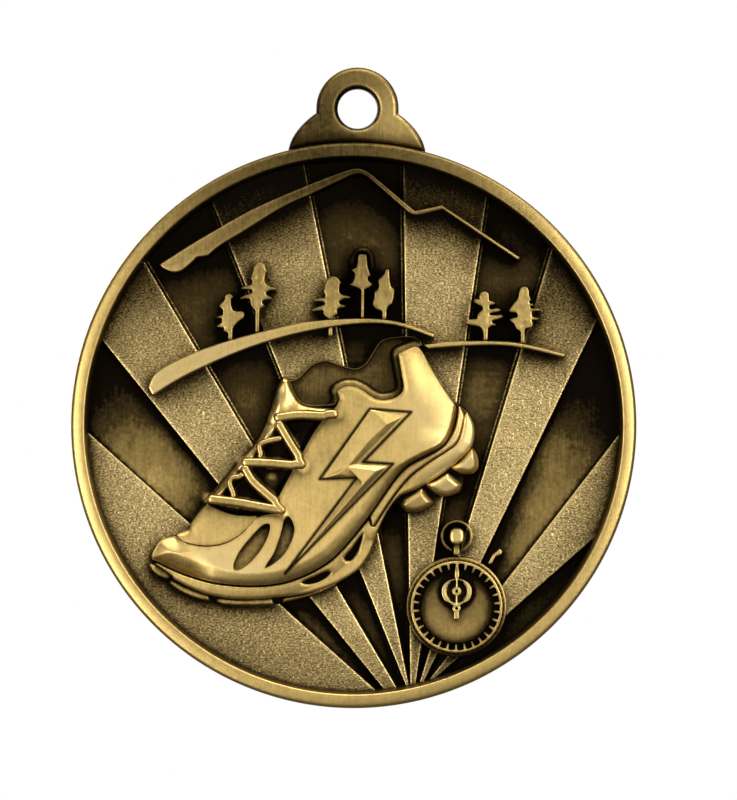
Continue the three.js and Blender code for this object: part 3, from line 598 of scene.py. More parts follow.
def antique_brass(
    name,
    low=0.35,
    high=0.95,
    roughness=0.36,
    grain=0.25,
    grain_size=0.09,
    brush=0.2,
    pits=0.0,
    mottle=0.16,
    olive=OLIVE,
    brass=BRASS,
):
    """Brass plate, darker where its open attribute is low: patina where the relief is closed in, and the
    painted light and shade that the attribute carries; fine brushing and cast grain.
    """
    material = bpy.data.materials.new(name)
    material.use_nodes = True
    nodes, links = material.node_tree.nodes, material.node_tree.links
    shader = nodes["Principled BSDF"]
    shader.inputs["Metallic"].default_value = 1.0
    place_node = nodes.new("ShaderNodeTexCoord")
    opened = nodes.new("ShaderNodeAttribute")
    opened.attribute_name = "open"

    def noise(size_mm, stretch=(1, 1, 1), detail=3.0):
        mapping = nodes.new("ShaderNodeMapping")
        mapping.inputs["Scale"].default_value = tuple(s / (size_mm * MM) for s in stretch)
        links.new(place_node.outputs["Object"], mapping.inputs["Vector"])
        texture = nodes.new("ShaderNodeTexNoise")
        texture.inputs["Scale"].default_value = 1.0
        texture.inputs["Detail"].default_value = detail
        texture.inputs["Roughness"].default_value = 0.6
        links.new(mapping.outputs["Vector"], texture.inputs["Vector"])
        return texture.outputs["Fac"]

    def centred(value, share):
        """A noise, whose middle is 0.5, as a change of the share to and fro about 0."""
        return math_node(nodes, links, "MULTIPLY_ADD", value, share, -0.5 * share)

    specks = noise(0.35)
    streaks = noise(0.16, (1, 1, 0.04))
    grains_noise = noise(grain_size, (0.75, 1, 1.2), detail=1.0)
    total = opened.outputs["Fac"]
    for change in (centred(noise(2.6), mottle), centred(specks, 0.22), centred(streaks, brush)):
        total = math_node(nodes, links, "ADD", total, change)
    if pits:
        pitted = math_node(nodes, links, "MULTIPLY", centred(grains_noise, 2 * pits), opened.outputs["Fac"])
        total = math_node(nodes, links, "ADD", total, pitted)
    fitted = nodes.new("ShaderNodeMapRange")
    fitted.inputs["From Min"].default_value = low
    fitted.inputs["From Max"].default_value = high
    links.new(total, fitted.inputs["Value"])
    colours = ramp(nodes, [(0.0, DARK), (0.22, BROWN), (0.52, olive), (0.82, brass), (1.0, PALE_SHEEN)])
    links.new(fitted.outputs["Result"], colours.inputs["Fac"])
    links.new(colours.outputs["Color"], shader.inputs["Base Color"])
    rough = nodes.new("ShaderNodeMapRange")
    rough.inputs["To Min"].default_value = roughness + 0.16
    rough.inputs["To Max"].default_value = roughness - 0.03
    links.new(fitted.outputs["Result"], rough.inputs["Value"])
    uneven = math_node(nodes, links, "ADD", rough.outputs["Result"], centred(specks, 0.1))
    links.new(uneven, shader.inputs["Roughness"])
    bump_height = math_node(nodes, links, "MULTIPLY_ADD", streaks, 0.35 * brush, grains_noise)
    bump = nodes.new("ShaderNodeBump")
    bump.inputs["Strength"].default_value = grain
    bump.inputs["Distance"].default_value = 0.03 * MM
    links.new(bump_height, bump.inputs["Height"])
    links.new(bump.outputs["Normal"], shader.inputs["Normal"])
    return material


LOOKS = {
    "polished": {"low": 0.3, "high": 1.0},
    "skyline": {"low": 0.3, "high": 1.2},
    "shoe": {"low": 0.0, "high": 1.16, "roughness": 0.42, "brush": 0.24, "mottle": 0.36},
    "lace": {"low": 0.2, "high": 0.75, "roughness": 0.32, "brush": 0.1},
    "tongue": {"low": 0.4, "high": 0.95, "roughness": 0.34, "brush": 0.1},
    "lining": {"low": 0.7, "high": 2.4, "brush": 0.04},
    "rim": {"low": 0.15, "high": 1.2},
    "stippled": {"low": 0.35, "high": 1.1, "roughness": 0.38, "grain": 1.0, "grain_size": 0.15, "brush": 0.0}
    | {"pits": 0.55, "olive": (0.285, 0.205, 0.08), "brass": (0.74, 0.55, 0.235)},
    "slope": {"low": 0.5, "high": 1.14, "roughness": 0.42, "brush": 0.14},
    "sunk": {"low": 0.36, "high": 1.27, "roughness": 0.44, "brush": 0.1},
    "dark": {"low": 0.5, "high": 1.5, "roughness": 0.42},
    "back": {"low": 0.2, "high": 1.2, "roughness": 0.42, "grain": 0.7, "grain_size": 0.2, "brush": 0.06}
    | {"pits": 0.12},
}
MATERIALS = {name: antique_brass(f"antique_brass_{name}", **look) for name, look in LOOKS.items()}

# ---- sunburst ----
SUNK = PLATE_TOP
FIELD_FOOT_R = 23.7  # the foot of the rim's inner wall, where the ends of the rays are buried
LONG_SIDE = 8


def buried(loop):
    """Carries the ends of a ray on into the rim's wall, along its own sides."""
    moved = []
    for before, point, after in zip(np.roll(loop, 1, 0), loop, np.roll(loop, -1, 0)):
        along = point / np.hypot(*point)
        for other in (before, after):
            side = point - other
            if np.hypot(*side) > LONG_SIDE:
                along = side / np.hypot(*side)
        reach = point @ along
        onwards = math.sqrt(reach**2 - point @ point + FIELD_FOOT_R**2) - reach
        moved.append(point + along * onwards)
    return np.array(moved)


def rim_shadow(points):
    """Painted shadow on the rays where they run up under the top of the rim, and darker towards the bottom of
    the disc.
    """
    r = off_centre(points)
    foot = 0.12 * smoothstep(-16, -21, points[:, 1])
    return 1 - foot - 0.22 * smoothstep(15.5, 20.5, r) * smoothstep(0.25, 0.75, points[:, 1] / r)


def slope_shade(points):
    """Painted shade on the sunk slopes towards the rim in their upper parts, and a painted shadow beside the
    fifth ray low down; a little darker on the right.
    """
    r = off_centre(points)
    low = smoothstep(-1, -11, points[:, 1]) * smoothstep(0, 5, points[:, 0])
    low *= np.exp(-((distance(points, cad_loops("ray_5")[:1]) / 1.5) ** 2))
    right = 0.07 * smoothstep(0, 5, points[:, 0])
    high = 0.2 * smoothstep(16.5, 21.5, r) * smoothstep(-6, 2, points[:, 1])
    return 1 - right - high - 0.4 * low


for number in range(1, 7):
    loops = [refine(buried(loop), 0.14, corner=20) for loop in cad_loops(f"ray_{number}")[:1]]

    def ray_top(points, d):
        return RAY_TOP + 0.035 * stipple(points) * smoothstep(0.12, 0.3, d)

    relief(
        f"ray_{number}", loops, ray_top, SUNK - 0.04, step=0.1, bevel=0.11, draft=0.36,
        wall=((0.2, 0.4), (0.42, 0.85), (0.5, 0.88), (0.86, 0.9)), wear=0.8, shade=0.6, tarnished=0.35,
        line=0.48, dulled=rim_shadow, finish="stippled", slot="stippled_brass",
    )


def cad_top(node):
    """A function that reads the height of a CAD node's front at each point."""
    mesh = NODES[node].data
    mesh.calc_loop_triangles()
    tree = BVHTree.FromPolygons(
        [v.co[:] for v in mesh.vertices], [t.vertices[:] for t in mesh.loop_triangles]
    )
    centre = np.concatenate(cad_loops(node, back=True)[:1]).mean(0)

    def height(points, d):
        found = np.empty(len(points))
        for i, start in enumerate(place(points, RIM_TOP + 5).tolist()):
            hit = tree.ray_cast(Vector(start), Vector((0, 1, 0)))[0]
            nudge = 0.02
            while hit is None and nudge < 1:
                moved = points[i] + (centre - points[i]) * nudge
                hit = tree.ray_cast(Vector(place([moved], RIM_TOP + 5)[0]), Vector((0, 1, 0)))[0]
                nudge *= 1.6
            found[i] = BACK_Y - hit.y / MM
        return found

    return height


for side in ("left", "right"):
    node = f"slope_{side}"
    loops = [refine(buried(loop), 0.2, corner=20) for loop in cad_loops(node, back=True)[:1]]
    relief(
        node, loops, cad_top(node), SUNK - 0.1, step=0.25, bevel=0.03, draft=0, wear=0,
        dulled=slope_shade, finish="slope",
    )

# ---- skyline ----
def hill_brighter_left(points):
    """Brighter towards the broad end of the left hill."""
    return 1 + 0.16 * smoothstep(-3, -13, points[:, 0]) * smoothstep(11, 8, points[:, 1])


for node in ("mountain_outline", "hill_left", "hill_right"):
    relief(
        node, [outline_of(node, 0, 0.07, 0.06)], SKYLINE_TOP, SUNK, bevel=0.1, draft=0.1, wear=0.8,
        dulled=hill_brighter_left, finish="skyline",
    )
for number in range(1, 8):
    node = f"pine_{number}"
    outline = soften(dense(cad_loops(node)[0], True, 0.04), 0.04, 0.1)

    def pine_top(points, d, seed=number):
        boughs = value_noise(points, 0.5, 20 + seed) - 0.5
        return SKYLINE_TOP - 0.04 + 0.07 * boughs * smoothstep(0.05, 0.3, d)

    relief(
        node, [evenly_closed(outline, 0.07)], pine_top, SUNK, step=0.09, bevel=0.1, draft=0.08, wear=0.35,
        finish="skyline",
    )
relief("pine_root", [outline_of("pine_root", 0, 0.08)], SKYLINE_TOP, SUNK)
relief(
    "pine_4_crown", [outline_of("pine_4_crown", 0.02, 0.08, 0.1)], domed(SKYLINE_TOP - 0.9, 0.4, 0.7),
    SUNK, step=0.1, bevel=0.08, finish="dark", slot="sunk_patina",
)

# ---- running shoe ----
PLINTH = front_of("shoe_plinth")
SHOE_FOOT = PLINTH - 0.3
UPPER_TOP = front_of("shoe_upper")
BOLT_TOP = front_of("shoe_bolt")
LACE_TOP = front_of("lace_1")
upper_loops = cad_loops("shoe_upper")
sole_lines = [cad_loops("midsole")[0], cad_loops("midsole_rib")[0]]
leaves = [soften(refine(loop, 0.08, corner=70), 0.08, 0.05) for loop in upper_loops[1:]]
bolt = oriented([cad_loops("shoe_bolt")[0]])[0]
around = oriented([upper_loops[0]])[0]
upper_edges = [np.array([a, b]) for a, b in zip(around, np.roll(around, -1, 0))]
HEELWARDS = np.array([0.85, 0.53])
faces_heel = -left_of(np.roll(around, -1, 0) - around) @ HEELWARDS > 0.4
faces_heel &= around[:, 0] > 4
heel_edges = [edge for edge, yes in zip(upper_edges, faces_heel) if yes]
off_vamp = distance([edge.mean(0) for edge in upper_edges], cad_loops("shoe_vamp")[:1])
free_edges = [edge for edge, gap in zip(upper_edges, off_vamp) if gap > 0.3]


def heel_highlight(points):
    """A painted highlight on the heel's sole and lugs, which stand out at the side."""
    return 1 + 0.32 * smoothstep(4.5, 8.5, points[:, 0])


def shoe_form(points):
    """A turned-under flank over the sole, a crease, and a broad side that falls to the laces."""
    off_sole = distance(points, sole_lines)
    x = points[:, 0]
    flank = 1.35 - 0.75 * smoothstep(2.0, 5.0, x) + 0.3 * smoothstep(-9, -13, x)
    rise = np.clip(off_sole / flank, 0, 1)
    crest = UPPER_TOP - 0.02 - 0.25 * smoothstep(-6, -16, x)
    drop = 0.5 - 0.22 * smoothstep(-10, -14, x)
    form = crest - drop * (1 - rise) ** 1.25 - 0.07 * np.maximum(off_sole - flank, 0)
    return form - 0.1 * (1 - quarter(off_sole / 0.15))


def upper_top(points, d):
    """The shoe's form, rolled off round the toe, round the heel and, more tightly, along the edge between."""
    x, z = points[:, 0], points[:, 1]
    form = shoe_form(points)
    toe = smoothstep(-12.0, -14.5, x)
    heel = smoothstep(3.5, 6.5, x) * smoothstep(-3, 0.0, z)
    off_edge = distance(points, free_edges, closed=False)
    form -= toe * 0.7 * np.clip(1 - off_edge / 2.4, 0, 1) ** 2
    form -= heel * 0.6 * np.clip(1 - distance(points, heel_edges, closed=False) / 3.4, 0, 1) ** 2
    return form - 0.12 * np.clip(1 - off_edge / 0.5, 0, 1) ** 2 * (1 - toe) * (1 - heel)


def shoe_highlights(points):
    """Painted highlights on the toe and the heel, which stand out, a painted reflection low on the flank, and
    painted shade on the side between them.
    """
    toe = spot(points, (-13.2, -10), (3.6, 3.5))
    heel = spot(points, (6.5, 1), (3.5, 3.5))
    side = spot(points, (-1.5, -1), (4, 5))
    flank = spot(points, (-9, -13.3), (5, 1.6))
    return 1 + 0.2 * toe + 0.18 * heel - 0.12 * side + 0.18 * flank


relief(
    "shoe_upper", [outline_of("shoe_upper", 0.06, 0.1, 0.05), *leaves], upper_top, SHOE_FOOT, step=0.13,
    bevel=0.04, draft=0.03, wear=0.05, grooves=[bolt], dulled=shoe_highlights, finish="shoe",
)
for number, leaf in enumerate(leaves, 1):

    def leaf_top(points, d):
        return shoe_form(points) - 0.4 + 0.12 * quarter(d / 0.5) + 0.03 * stipple(points)

    relief(
        f"shoe_leaf_{number}", [grown(leaf, 0.08)], leaf_top, SHOE_FOOT, step=0.1, bevel=0.02, wear=0,
        finish="slope",
    )


def vamp_top(points, d):
    """Runs on from the toe cap over a soft crease, and rolls down at the shoe's own outline."""
    off_outline = distance(points, cad_loops("shoe_plinth")[:1])
    rolled = 0.32 * (1 - quarter(off_outline / 1.2))
    return shoe_form(points) - 0.14 - rolled - 0.05 * (1 - quarter(d / 0.6))


relief(
    "shoe_vamp", [outline_of("shoe_vamp", 0.06, 0.1)], vamp_top, SHOE_FOOT, bevel=0.03, draft=0.03,
    finish="shoe",
)


# the laces' ends run on over the side of the shoe, and their bends meet
LACE_R, THIN_LACE_R = 0.44, 0.29
LONG_LACE = 3.4
OVER_THE_SIDE, TO_A_BEND, FREE_END = 0.95, 0.42, 0.45  # how far an end runs on
paths = {f"lace_{n}": spine(cad_loops(f"lace_{n}")[0])[3:-3] for n in range(1, 8)}
ends = {node: np.array([path[0], path[-1]]) for node, path in paths.items()}
laces = {}
for node, path in paths.items():
    others = np.concatenate([pair for other, pair in ends.items() if other != node])
    add = []
    for end in (path[0], path[-1]):
        to_upper = distance([end], [upper_loops[0]])[0]
        to_lace = np.linalg.norm(others - end, axis=1).min()
        add.append(OVER_THE_SIDE if to_upper < 0.8 else TO_A_BEND if to_lace < 1.6 else FREE_END)
    length = np.linalg.norm(np.diff(path, axis=0), axis=1).sum()
    radius = LACE_R if length > LONG_LACE else THIN_LACE_R
    path = lengthened(path, *add) + (0.5 * (radius - 0.2), 0)
    laces[node] = (path, radius, LACE_TOP - (LACE_R - radius) * 1.5)
long_ends = np.concatenate([path[[0, -1]] for path, radius, _ in laces.values() if radius == LACE_R])
throat = long_ends[convex_hull_2d([Vector(p) for p in long_ends.tolist()])]
tongue_side = long_ends[[np.argmin(long_ends[:, 0]), np.argmax(long_ends[:, 1] - long_ends[:, 0])]]


def tongue_top(points, d):
    """Rounded along its outer edge, with soft folds across it, and sunk deep between the laces."""
    x, z = points[:, 0], points[:, 1]
    folds = np.sin((x * 0.55 + z * 0.9) * 2.1) * 0.06 + np.sin((x - z * 0.4) * 3.3) * 0.04
    sunk = inside(points, [throat]) * smoothstep(0.2, 0.5, distance(points, [throat]))
    sunk = sunk * smoothstep(0.5, 1.4, distance(points, [tongue_side], closed=False))
    return 2.5 + 0.45 * quarter(d / 0.8) + folds * smoothstep(0.1, 0.5, d) - 0.6 * sunk


def tongue_highlights(points):
    """Two painted glints where the tongue shows between the laces, and a painted highlight along its outer
    side.
    """
    high = spot(points, (-6.9, -0.6), (0.75, 0.5))
    low = spot(points, (-7.2, -4.5), (0.4, 0.4))
    strip = np.exp(-((distance(points, [tongue_side], closed=False) / 0.9) ** 2))
    return 1 + 1.6 * high + 0.8 * low + 0.25 * strip


relief(
    "shoe_tongue", [outline_of("shoe_tongue", 0.04, 0.1)], tongue_top, SHOE_FOOT, bevel=0.06,
    dulled=tongue_highlights, finish="tongue",
)


def lining_top(points, d):
    """A padded collar against the upper, then a hollow, and a rolled edge at the top."""
    off_upper = distance(points, [upper_loops[0]])
    return 2.1 + 0.3 * quarter((0.85 - off_upper) / 0.4) + 0.35 * np.clip(1 - d / 0.35, 0, 1) ** 2


relief(
    "shoe_lining", [outline_of("shoe_lining", 0.05, 0.1)], lining_top, SHOE_FOOT, step=0.1, bevel=0.07,
    wear=1.3, finish="lining", slot="sunk_patina",
)


def longest_run(points, wanted):
    """The longest stretch of a closed loop's points that are all wanted."""
    start = int(np.argmin(wanted))
    points, wanted = np.roll(points, -start, 0), np.roll(wanted, -start)
    change = np.diff(np.concatenate([wanted, [False]]).astype(int))
    starts, ends = np.flatnonzero(change == 1) + 1, np.flatnonzero(change == -1) + 1
    longest = np.argmax(ends - starts)
    return points[starts[longest] : ends[longest]]


# the padded collar runs along the edge of the upper, where the lining lies beside it
hem = dense(around, True, 0.1)
beside_upper = hem - 0.26 * normals_of(hem)
collar = longest_run(beside_upper, inside(beside_upper, cad_loops("shoe_lining")[:1]))
collar = band(evenly(collar, 80), 0.4)
padded = domed(2.35, 0.35, 0.4)
relief("shoe_collar", [collar], padded, SHOE_FOOT, step=0.09, bevel=0.04, wear=0, finish="slope")
relief(
    "midsole_rib", [outline_of("midsole_rib", 0.07, 0.09)], domed(2.98, 0.15, 0.25), SHOE_FOOT, step=0.08,
    bevel=0.03, dulled=heel_highlight, finish="shoe",
)
sole_loops = cad_loops("midsole")


def sole_top(points, d):
    """Full along the top and falling away over the ground."""
    off_rib = distance(points, [cad_loops("midsole_rib")[0], upper_loops[0]])
    return 3.1 - 0.16 * (1 - quarter(d / 0.3)) - 0.22 * np.clip(off_rib / 1.3, 0, 1) ** 2


relief(
    "midsole", [outline_of("midsole", 0.06, 0.09), *(refine(loop, 0.09) for loop in sole_loops[1:])],
    sole_top, SHOE_FOOT, step=0.1, bevel=0.03, dulled=heel_highlight, finish="shoe",
)
for node in ("tread_toe", "tread_front", "tread_ball", "tread_arch"):
    tread_top = domed(2.42, 0.3, 0.22)
    relief(node, [outline_of(node, 0.03, 0.08)], tread_top, SHOE_FOOT, step=0.09, bevel=0.04)
for number in (1, 2, 3):
    node = f"heel_lug_{number}"

    def heel_lug_top(points, d):
        """Domed, highest beside the sole and falling away towards its tip."""
        off_sole = distance(points, [sole_loops[0]])
        return 2.25 + 0.7 * quarter(d / 0.55) + 0.3 * np.clip(1 - off_sole / 1.3, -0.8, 1)

    relief(
        node, [outline_of(node, 0.05, 0.08, 0.16)], heel_lug_top, SHOE_FOOT, step=0.09, bevel=0.04,
        wear=0.4, dulled=heel_highlight, finish="shoe",
    )

# the flash stands up as a roof: a broad face towards the laces and a steep one towards the sole. Its corners
# are the CAD outline's, from the top left clockwise, and the ridge points are set off from its edges.
corners = np.roll(bolt, -int(np.argmax(bolt[:, 1] - 0.3 * bolt[:, 0])), 0)
if area_of(corners) > 0:
    corners = np.roll(corners[::-1], 1, 0)
C0, C1, C2, C3, C4, C5, C6 = corners
blade = (C4 - C3) / np.linalg.norm(C4 - C3)
across = np.array([blade[1], -blade[0]])
lean = (C2 - C1) / np.linalg.norm(C2 - C1)
aside = np.array([lean[1], -lean[0]])
R1 = C1 + 2.3 * lean + 0.85 * aside
R2 = C1 + 4.3 * lean + 0.95 * aside
R3 = C2 + (-1.4, -0.45)
R4 = C3 + 1.5 * blade + 0.65 * across
R5 = C3 + 3.1 * blade + 0.6 * across
R6 = (C5 + C6) / 2 + (-0.05, 0.38)
# the roof's facets, as corners with their heights from 0 at the foot to 1 along the ridge
H0, H1, H2, H3, H4, H5, H6 = (C0, 0.4), (C1, 0.1), (C2, 0), (C3, 0.1), (C4, 0.3), (C5, 0.35), (C6, 0.3)
T1, T2, T3, T4, T5, T6 = (R1, 1), (R2, 1), (R3, 0.9), (R4, 1), (R5, 1), (R6, 0.85)
ROOF = (
    (H0, H1, T1), (H0, T1, T2), (H0, T2, T3), (H0, T3, H6), (H1, H2, T1), (T1, H2, T2), (T2, H2, T3),
    (T3, H2, T4), (H2, H3, T4), (T3, T4, T5), (T3, T5, H5), (T3, H5, T6), (T3, T6, H6), (H6, T6, H5),
    (H5, T5, H4), (H3, H4, T4), (T4, H4, T5),
)


def bolt_top(points, d):
    """A roof of flat faces over the flash's outline, standing out of the side of the shoe."""
    roof = np.zeros(len(points))
    nearest = np.full(len(points), -9.0)
    for facet in ROOF:
        corner, heights = np.array([c for c, _ in facet]), np.array([h for _, h in facet])
        places = np.column_stack([points, np.ones(len(points))]).T
        shares = np.linalg.solve(np.vstack([corner.T, np.ones(3)]), places)
        closer = shares.min(0) > nearest
        nearest = np.where(closer, shares.min(0), nearest)
        roof = np.where(closer, heights @ shares, roof)
    low = shoe_form(points) - 0.2
    return np.minimum(low + 0.5 * np.clip(roof, 0, 1) - 0.22 * (1 - quarter(d / 0.12)), BOLT_TOP - 0.01)


relief(
    "shoe_bolt", [dense(bolt, True, 0.09)], bolt_top, SHOE_FOOT, step=0.08, bevel=0.03, draft=0.0, wear=0,
    finish="shoe",
)
relief(
    "shoe_plinth", [outline_of("shoe_plinth", 0, 0.12)], PLINTH, SUNK, step=0.2, bevel=0.1, draft=0.1,
    finish="dark", slot="sunk_patina",
)

# ---- stopwatch ----
bezel_edge = cad_loops("watch_bezel")[0]
WATCH = (bezel_edge.min(0) + bezel_edge.max(0)) / 2
BEZEL_R = np.ptp(bezel_edge[:, 0]) / 2
hand_edge = cad_loops("watch_hand")[0]
RING_R = np.ptp(hand_edge[:, 0]) / 2
HUB = np.array([(hand_edge[:, 0].min() + hand_edge[:, 0].max()) / 2, 0.0])
HUB[1] = hand_edge[np.argmax(hand_edge[:, 0]), 1]
TAIL = hand_edge[:, 1].min() - HUB[1]


def polar(middle, radius, turn):
    """Points about a middle, with the turn in degrees from straight up."""
    turn = np.radians(turn)
    return np.column_stack([middle[0] + radius * np.sin(turn), middle[1] + radius * np.cos(turn)])


def toothed(middle, radius, tip, count, width, wanted=lambda turn: True):
    """A ring's inner edge, with teeth that point at its middle."""
    edge = []
    for turn in np.arange(count) * 360 / count:
        half = math.degrees(width / 2 / radius)
        if wanted(turn):
            edge += [(radius, turn - half), (tip, turn - 0.7 * half), (tip, turn + 0.7 * half)]
            edge.append((radius, turn + half))
        edge += [(radius, turn + step * 360 / count) for step in (0.35, 0.5, 0.65)]
    edge = np.array(edge)
    return polar(middle, edge[:, 0], edge[:, 1])


DIAL_R = np.ptp(cad_loops("watch_dial")[0][:, 0]) / 2


def dial_shade(points):
    """Patina and painted shade along the dial's edge under the bezel, and more painted shade towards its top.
    """
    off = points - WATCH
    edge = np.exp(-(((DIAL_R - off_centre(off)) / 0.5) ** 2))
    return 1 - 0.35 * edge - 0.14 * smoothstep(-1, 1, off[:, 1] / DIAL_R)


turns = np.arange(0, 360, 6.0)
for node, finish, slot, bevel in (
    ("watch_case", "dark", "sunk_patina", 0.2),
    ("watch_dial", "sunk", "polished_brass", 0.04),
    ("watch_crown", "polished", "polished_brass", 0.3),
    ("watch_stem", "tongue", "sunk_patina", 0.12),
    ("watch_bow", "skyline", "polished_brass", 0.08),
    ("watch_pusher", "polished", "polished_brass", 0.1),
):
    loops = [refine(loop, 0.08, corner=30) for loop in cad_loops(node)]
    if node == "watch_crown":
        loops = [grown(loops[0], 0.08, 0.08)]
    relief(
        node, loops, front_of(node), max(back_of(node) - 0.1, SUNK), step=0.1, bevel=bevel, draft=0.03,
        grooves=[polar(HUB, RING_R, turns)] if node == "watch_dial" else (), groove=0.32,
        dulled=dial_shade if node == "watch_dial" else None, finish=finish, slot=slot,
    )
case_edge = cad_loops("watch_case")[0]
relief(
    "watch_case_rim", [grown(refine(case_edge, 0.1), -0.02), polar(WATCH, BEZEL_R + 0.04, turns)],
    front_of("watch_case") + 0.05, SUNK, step=0.1, bevel=0.12, draft=0.03, finish="polished",
)
DIAL_TOP = front_of("watch_dial")
TICKS, TEETH = 30, 60
HAND_TOP = front_of("watch_hand")
relief(
    "watch_bezel",
    [polar(WATCH, BEZEL_R, turns), toothed(WATCH, BEZEL_R - 0.22, BEZEL_R - 0.7, TICKS, 0.19)],
    front_of("watch_bezel"), max(back_of("watch_bezel") - 0.1, SUNK), step=0.1, bevel=0.05, draft=0.03,
)
pointed = RING_R * (1 - 0.17 * np.clip(np.cos(np.radians(turns)), 0, 1) ** 2)
pointed -= RING_R * 0.1 * np.exp(-(((turns - 150) / 14) ** 2))
pointed -= RING_R * 0.1 * np.exp(-(((turns - 210) / 14) ** 2))
beside = lambda turn: 40 < turn % 180 < 140
eyelet = HUB - (0, 1.52)


def both_sides(*right):
    """A closed outline about the dial's upright line, from its right side."""
    return HUB + np.concatenate([right, np.array(right)[::-1] * (-1, 1)])


for name, loops, top in (
    (
        "watch_hand",
        [polar(HUB, pointed, turns), toothed(HUB, 0.78 * RING_R, 0.68 * RING_R, TEETH, 0.06, beside)],
        HAND_TOP,
    ),
    (
        "watch_needle",
        [both_sides((0.05, 0.3), (0.07, 1.0), (0.17, 1.35), (0.1, 2.4))],
        HAND_TOP + 0.04,
    ),
    ("watch_hub", [polar(HUB, 0.38, turns), polar(HUB, 0.14, turns)], HAND_TOP + 0.05),
    ("watch_needle_foot", [both_sides((0.07, -1.3), (0.06, -0.3))], HAND_TOP + 0.02),
    ("watch_eyelet", [polar(eyelet, 0.34, turns), polar(eyelet, 0.13, turns)], HAND_TOP),
    ("watch_tail", [both_sides((0.2, -1.8), (0.2, TAIL))], HAND_TOP - 0.05),
):
    relief(
        name, [refine(loop, 0.07, corner=30) for loop in loops], top, DIAL_TOP - 0.05, step=0.08,
        bevel=0.04, draft=0.03, wear=0.3,
    )

# ---- backplate ----
def circle(radius, count, x=0.0, z=0.0):
    """An anticlockwise loop."""
    angle = np.arange(count) * 2 * math.pi / count
    return np.column_stack([x + radius * np.cos(angle), z + radius * np.sin(angle)])


relief(
    "backplate", [circle(DISC_R - 0.5, 720)], SUNK, BACK_FIELD, step=0.17, bevel=0.02, draft=0,
    tarnished=0.6, finish="sunk", slot="sunk_patina",
)

# ---- build the relief ----
height_map = np.full((MAP_N, MAP_N), SUNK)
axis = (np.arange(MAP_N) + 0.5) * MAP_STEP - MAP_HALF
radii = np.hypot(*np.meshgrid(axis, axis))
for spec in specs:
    if spec["name"] != "backplate":
        map_fill(height_map, spec)
for path, radius, top in laces.values():
    map_fill(height_map, {"loops": [band(path, radius)], "top": lambda p, d, h=top: h + 0 * d})
wall = smoothstep(FIELD_FOOT_R - 0.2, FIELD_FOOT_R + 0.15, radii)
height_map = np.where(radii > FIELD_FOOT_R - 0.2, SUNK + (RIM_TOP - SUNK) * wall, height_map)
height_map = np.where(radii > DISC_R, 0.0, height_map)
OPEN = openness(height_map)
EDGE_WEAR_AND_SHEEN = 0.1  # how far from an edge its polish and painted highlight reach
STEP_SHARES = (0.87, 0.91)  # the share of the drop at which a ray's wall has its narrow step with a painted highlight

for spec in specs:
    points, heights, faces, shares = geometry(spec)
    open_values = sampled(OPEN, points)
    off_edge = distance(points, spec["loops"])
    # the edges' polish, with a painted highlight along them
    open_values += np.where(shares == 0, spec["wear"] * np.exp(-off_edge / EDGE_WEAR_AND_SHEEN), 0)
    open_values *= 1 - spec["shade"] * smoothstep(0.1, 0.95, shares)
    if len(spec["grooves"]):
        off_groove = distance(points, spec["grooves"])
        open_values *= 1 - np.exp(-((off_groove / spec["groove"]) ** 2))
    # a painted highlight along the walls' narrow step, stronger towards the top
    line = spec["line"] * (0.3 + 0.7 * smoothstep(-16, 2, points[:, 1]))
    open_values += line * ((shares > STEP_SHARES[0]) & (shares < STEP_SHARES[1]))
    # painted shade towards the disc's top
    open_values *= 1 - spec["tarnished"] * (1 - tarnish(points))
    # each piece's own painted light and shade
    if spec["dulled"]:
        open_values *= spec["dulled"](points)
    material = MATERIALS[spec["finish"]]
    piece = mesh_object(spec["name"], place(points, heights), faces, open_values, material)
    keep(piece, spec["replaces"])


# ---- laces ----
def cord(name, path, radius, top, foot):
    """A flat-topped rounded cord along a path, standing on a foot height."""
    path = evenly(path, 48)
    side = left_of(np.gradient(path, axis=0))
    run = np.linspace(0, 1, len(path)) * np.linalg.norm(np.diff(path, axis=0), axis=1).sum()
    end = np.minimum(run, run[-1] - run)
    waist = quarter((end + 0.05) / radius)
    across = np.concatenate([[-1.0], np.linspace(-1, 1, 15), [1.0]])
    crown = np.concatenate([[1.0], np.abs(np.linspace(-1, 1, 15)) ** 4, [1.0]])
    spread = across[None, :] * (radius * waist)[:, None]
    points = path[:, None, :] + side[:, None, :] * spread[:, :, None]
    heights = top - 0.3 * crown[None, :] - 0.3 * (1 - waist)[:, None] + 0 * spread
    heights[:, [0, -1]] = foot
    points, heights = points.reshape(-1, 2), heights.ravel()
    rows, columns = len(path), len(across)
    i, j = np.meshgrid(np.arange(rows - 1), np.arange(columns), indexing="ij")
    a, b = i * columns + j, i * columns + (j + 1) % columns
    faces = np.column_stack([k.ravel() for k in (a, a + columns, b + columns, b)]).tolist()
    faces.append(tuple(range(columns)))
    faces.append(tuple(range((rows - 1) * columns, rows * columns))[::-1])
    values = 0.36 + 0.28 * (1 - np.tile(crown, rows))
    values[heights < foot + 0.01] = 0.05
    piece = mesh_object(name, place(points, heights), faces, values, MATERIALS["lace"], 50)
    return keep(piece, [name])


for name, (path, radius, top) in laces.items():
    cord(name, path, radius, top, SHOE_FOOT)


# ---- rims, turned about the disc's axis ----
RING_STEPS = 480


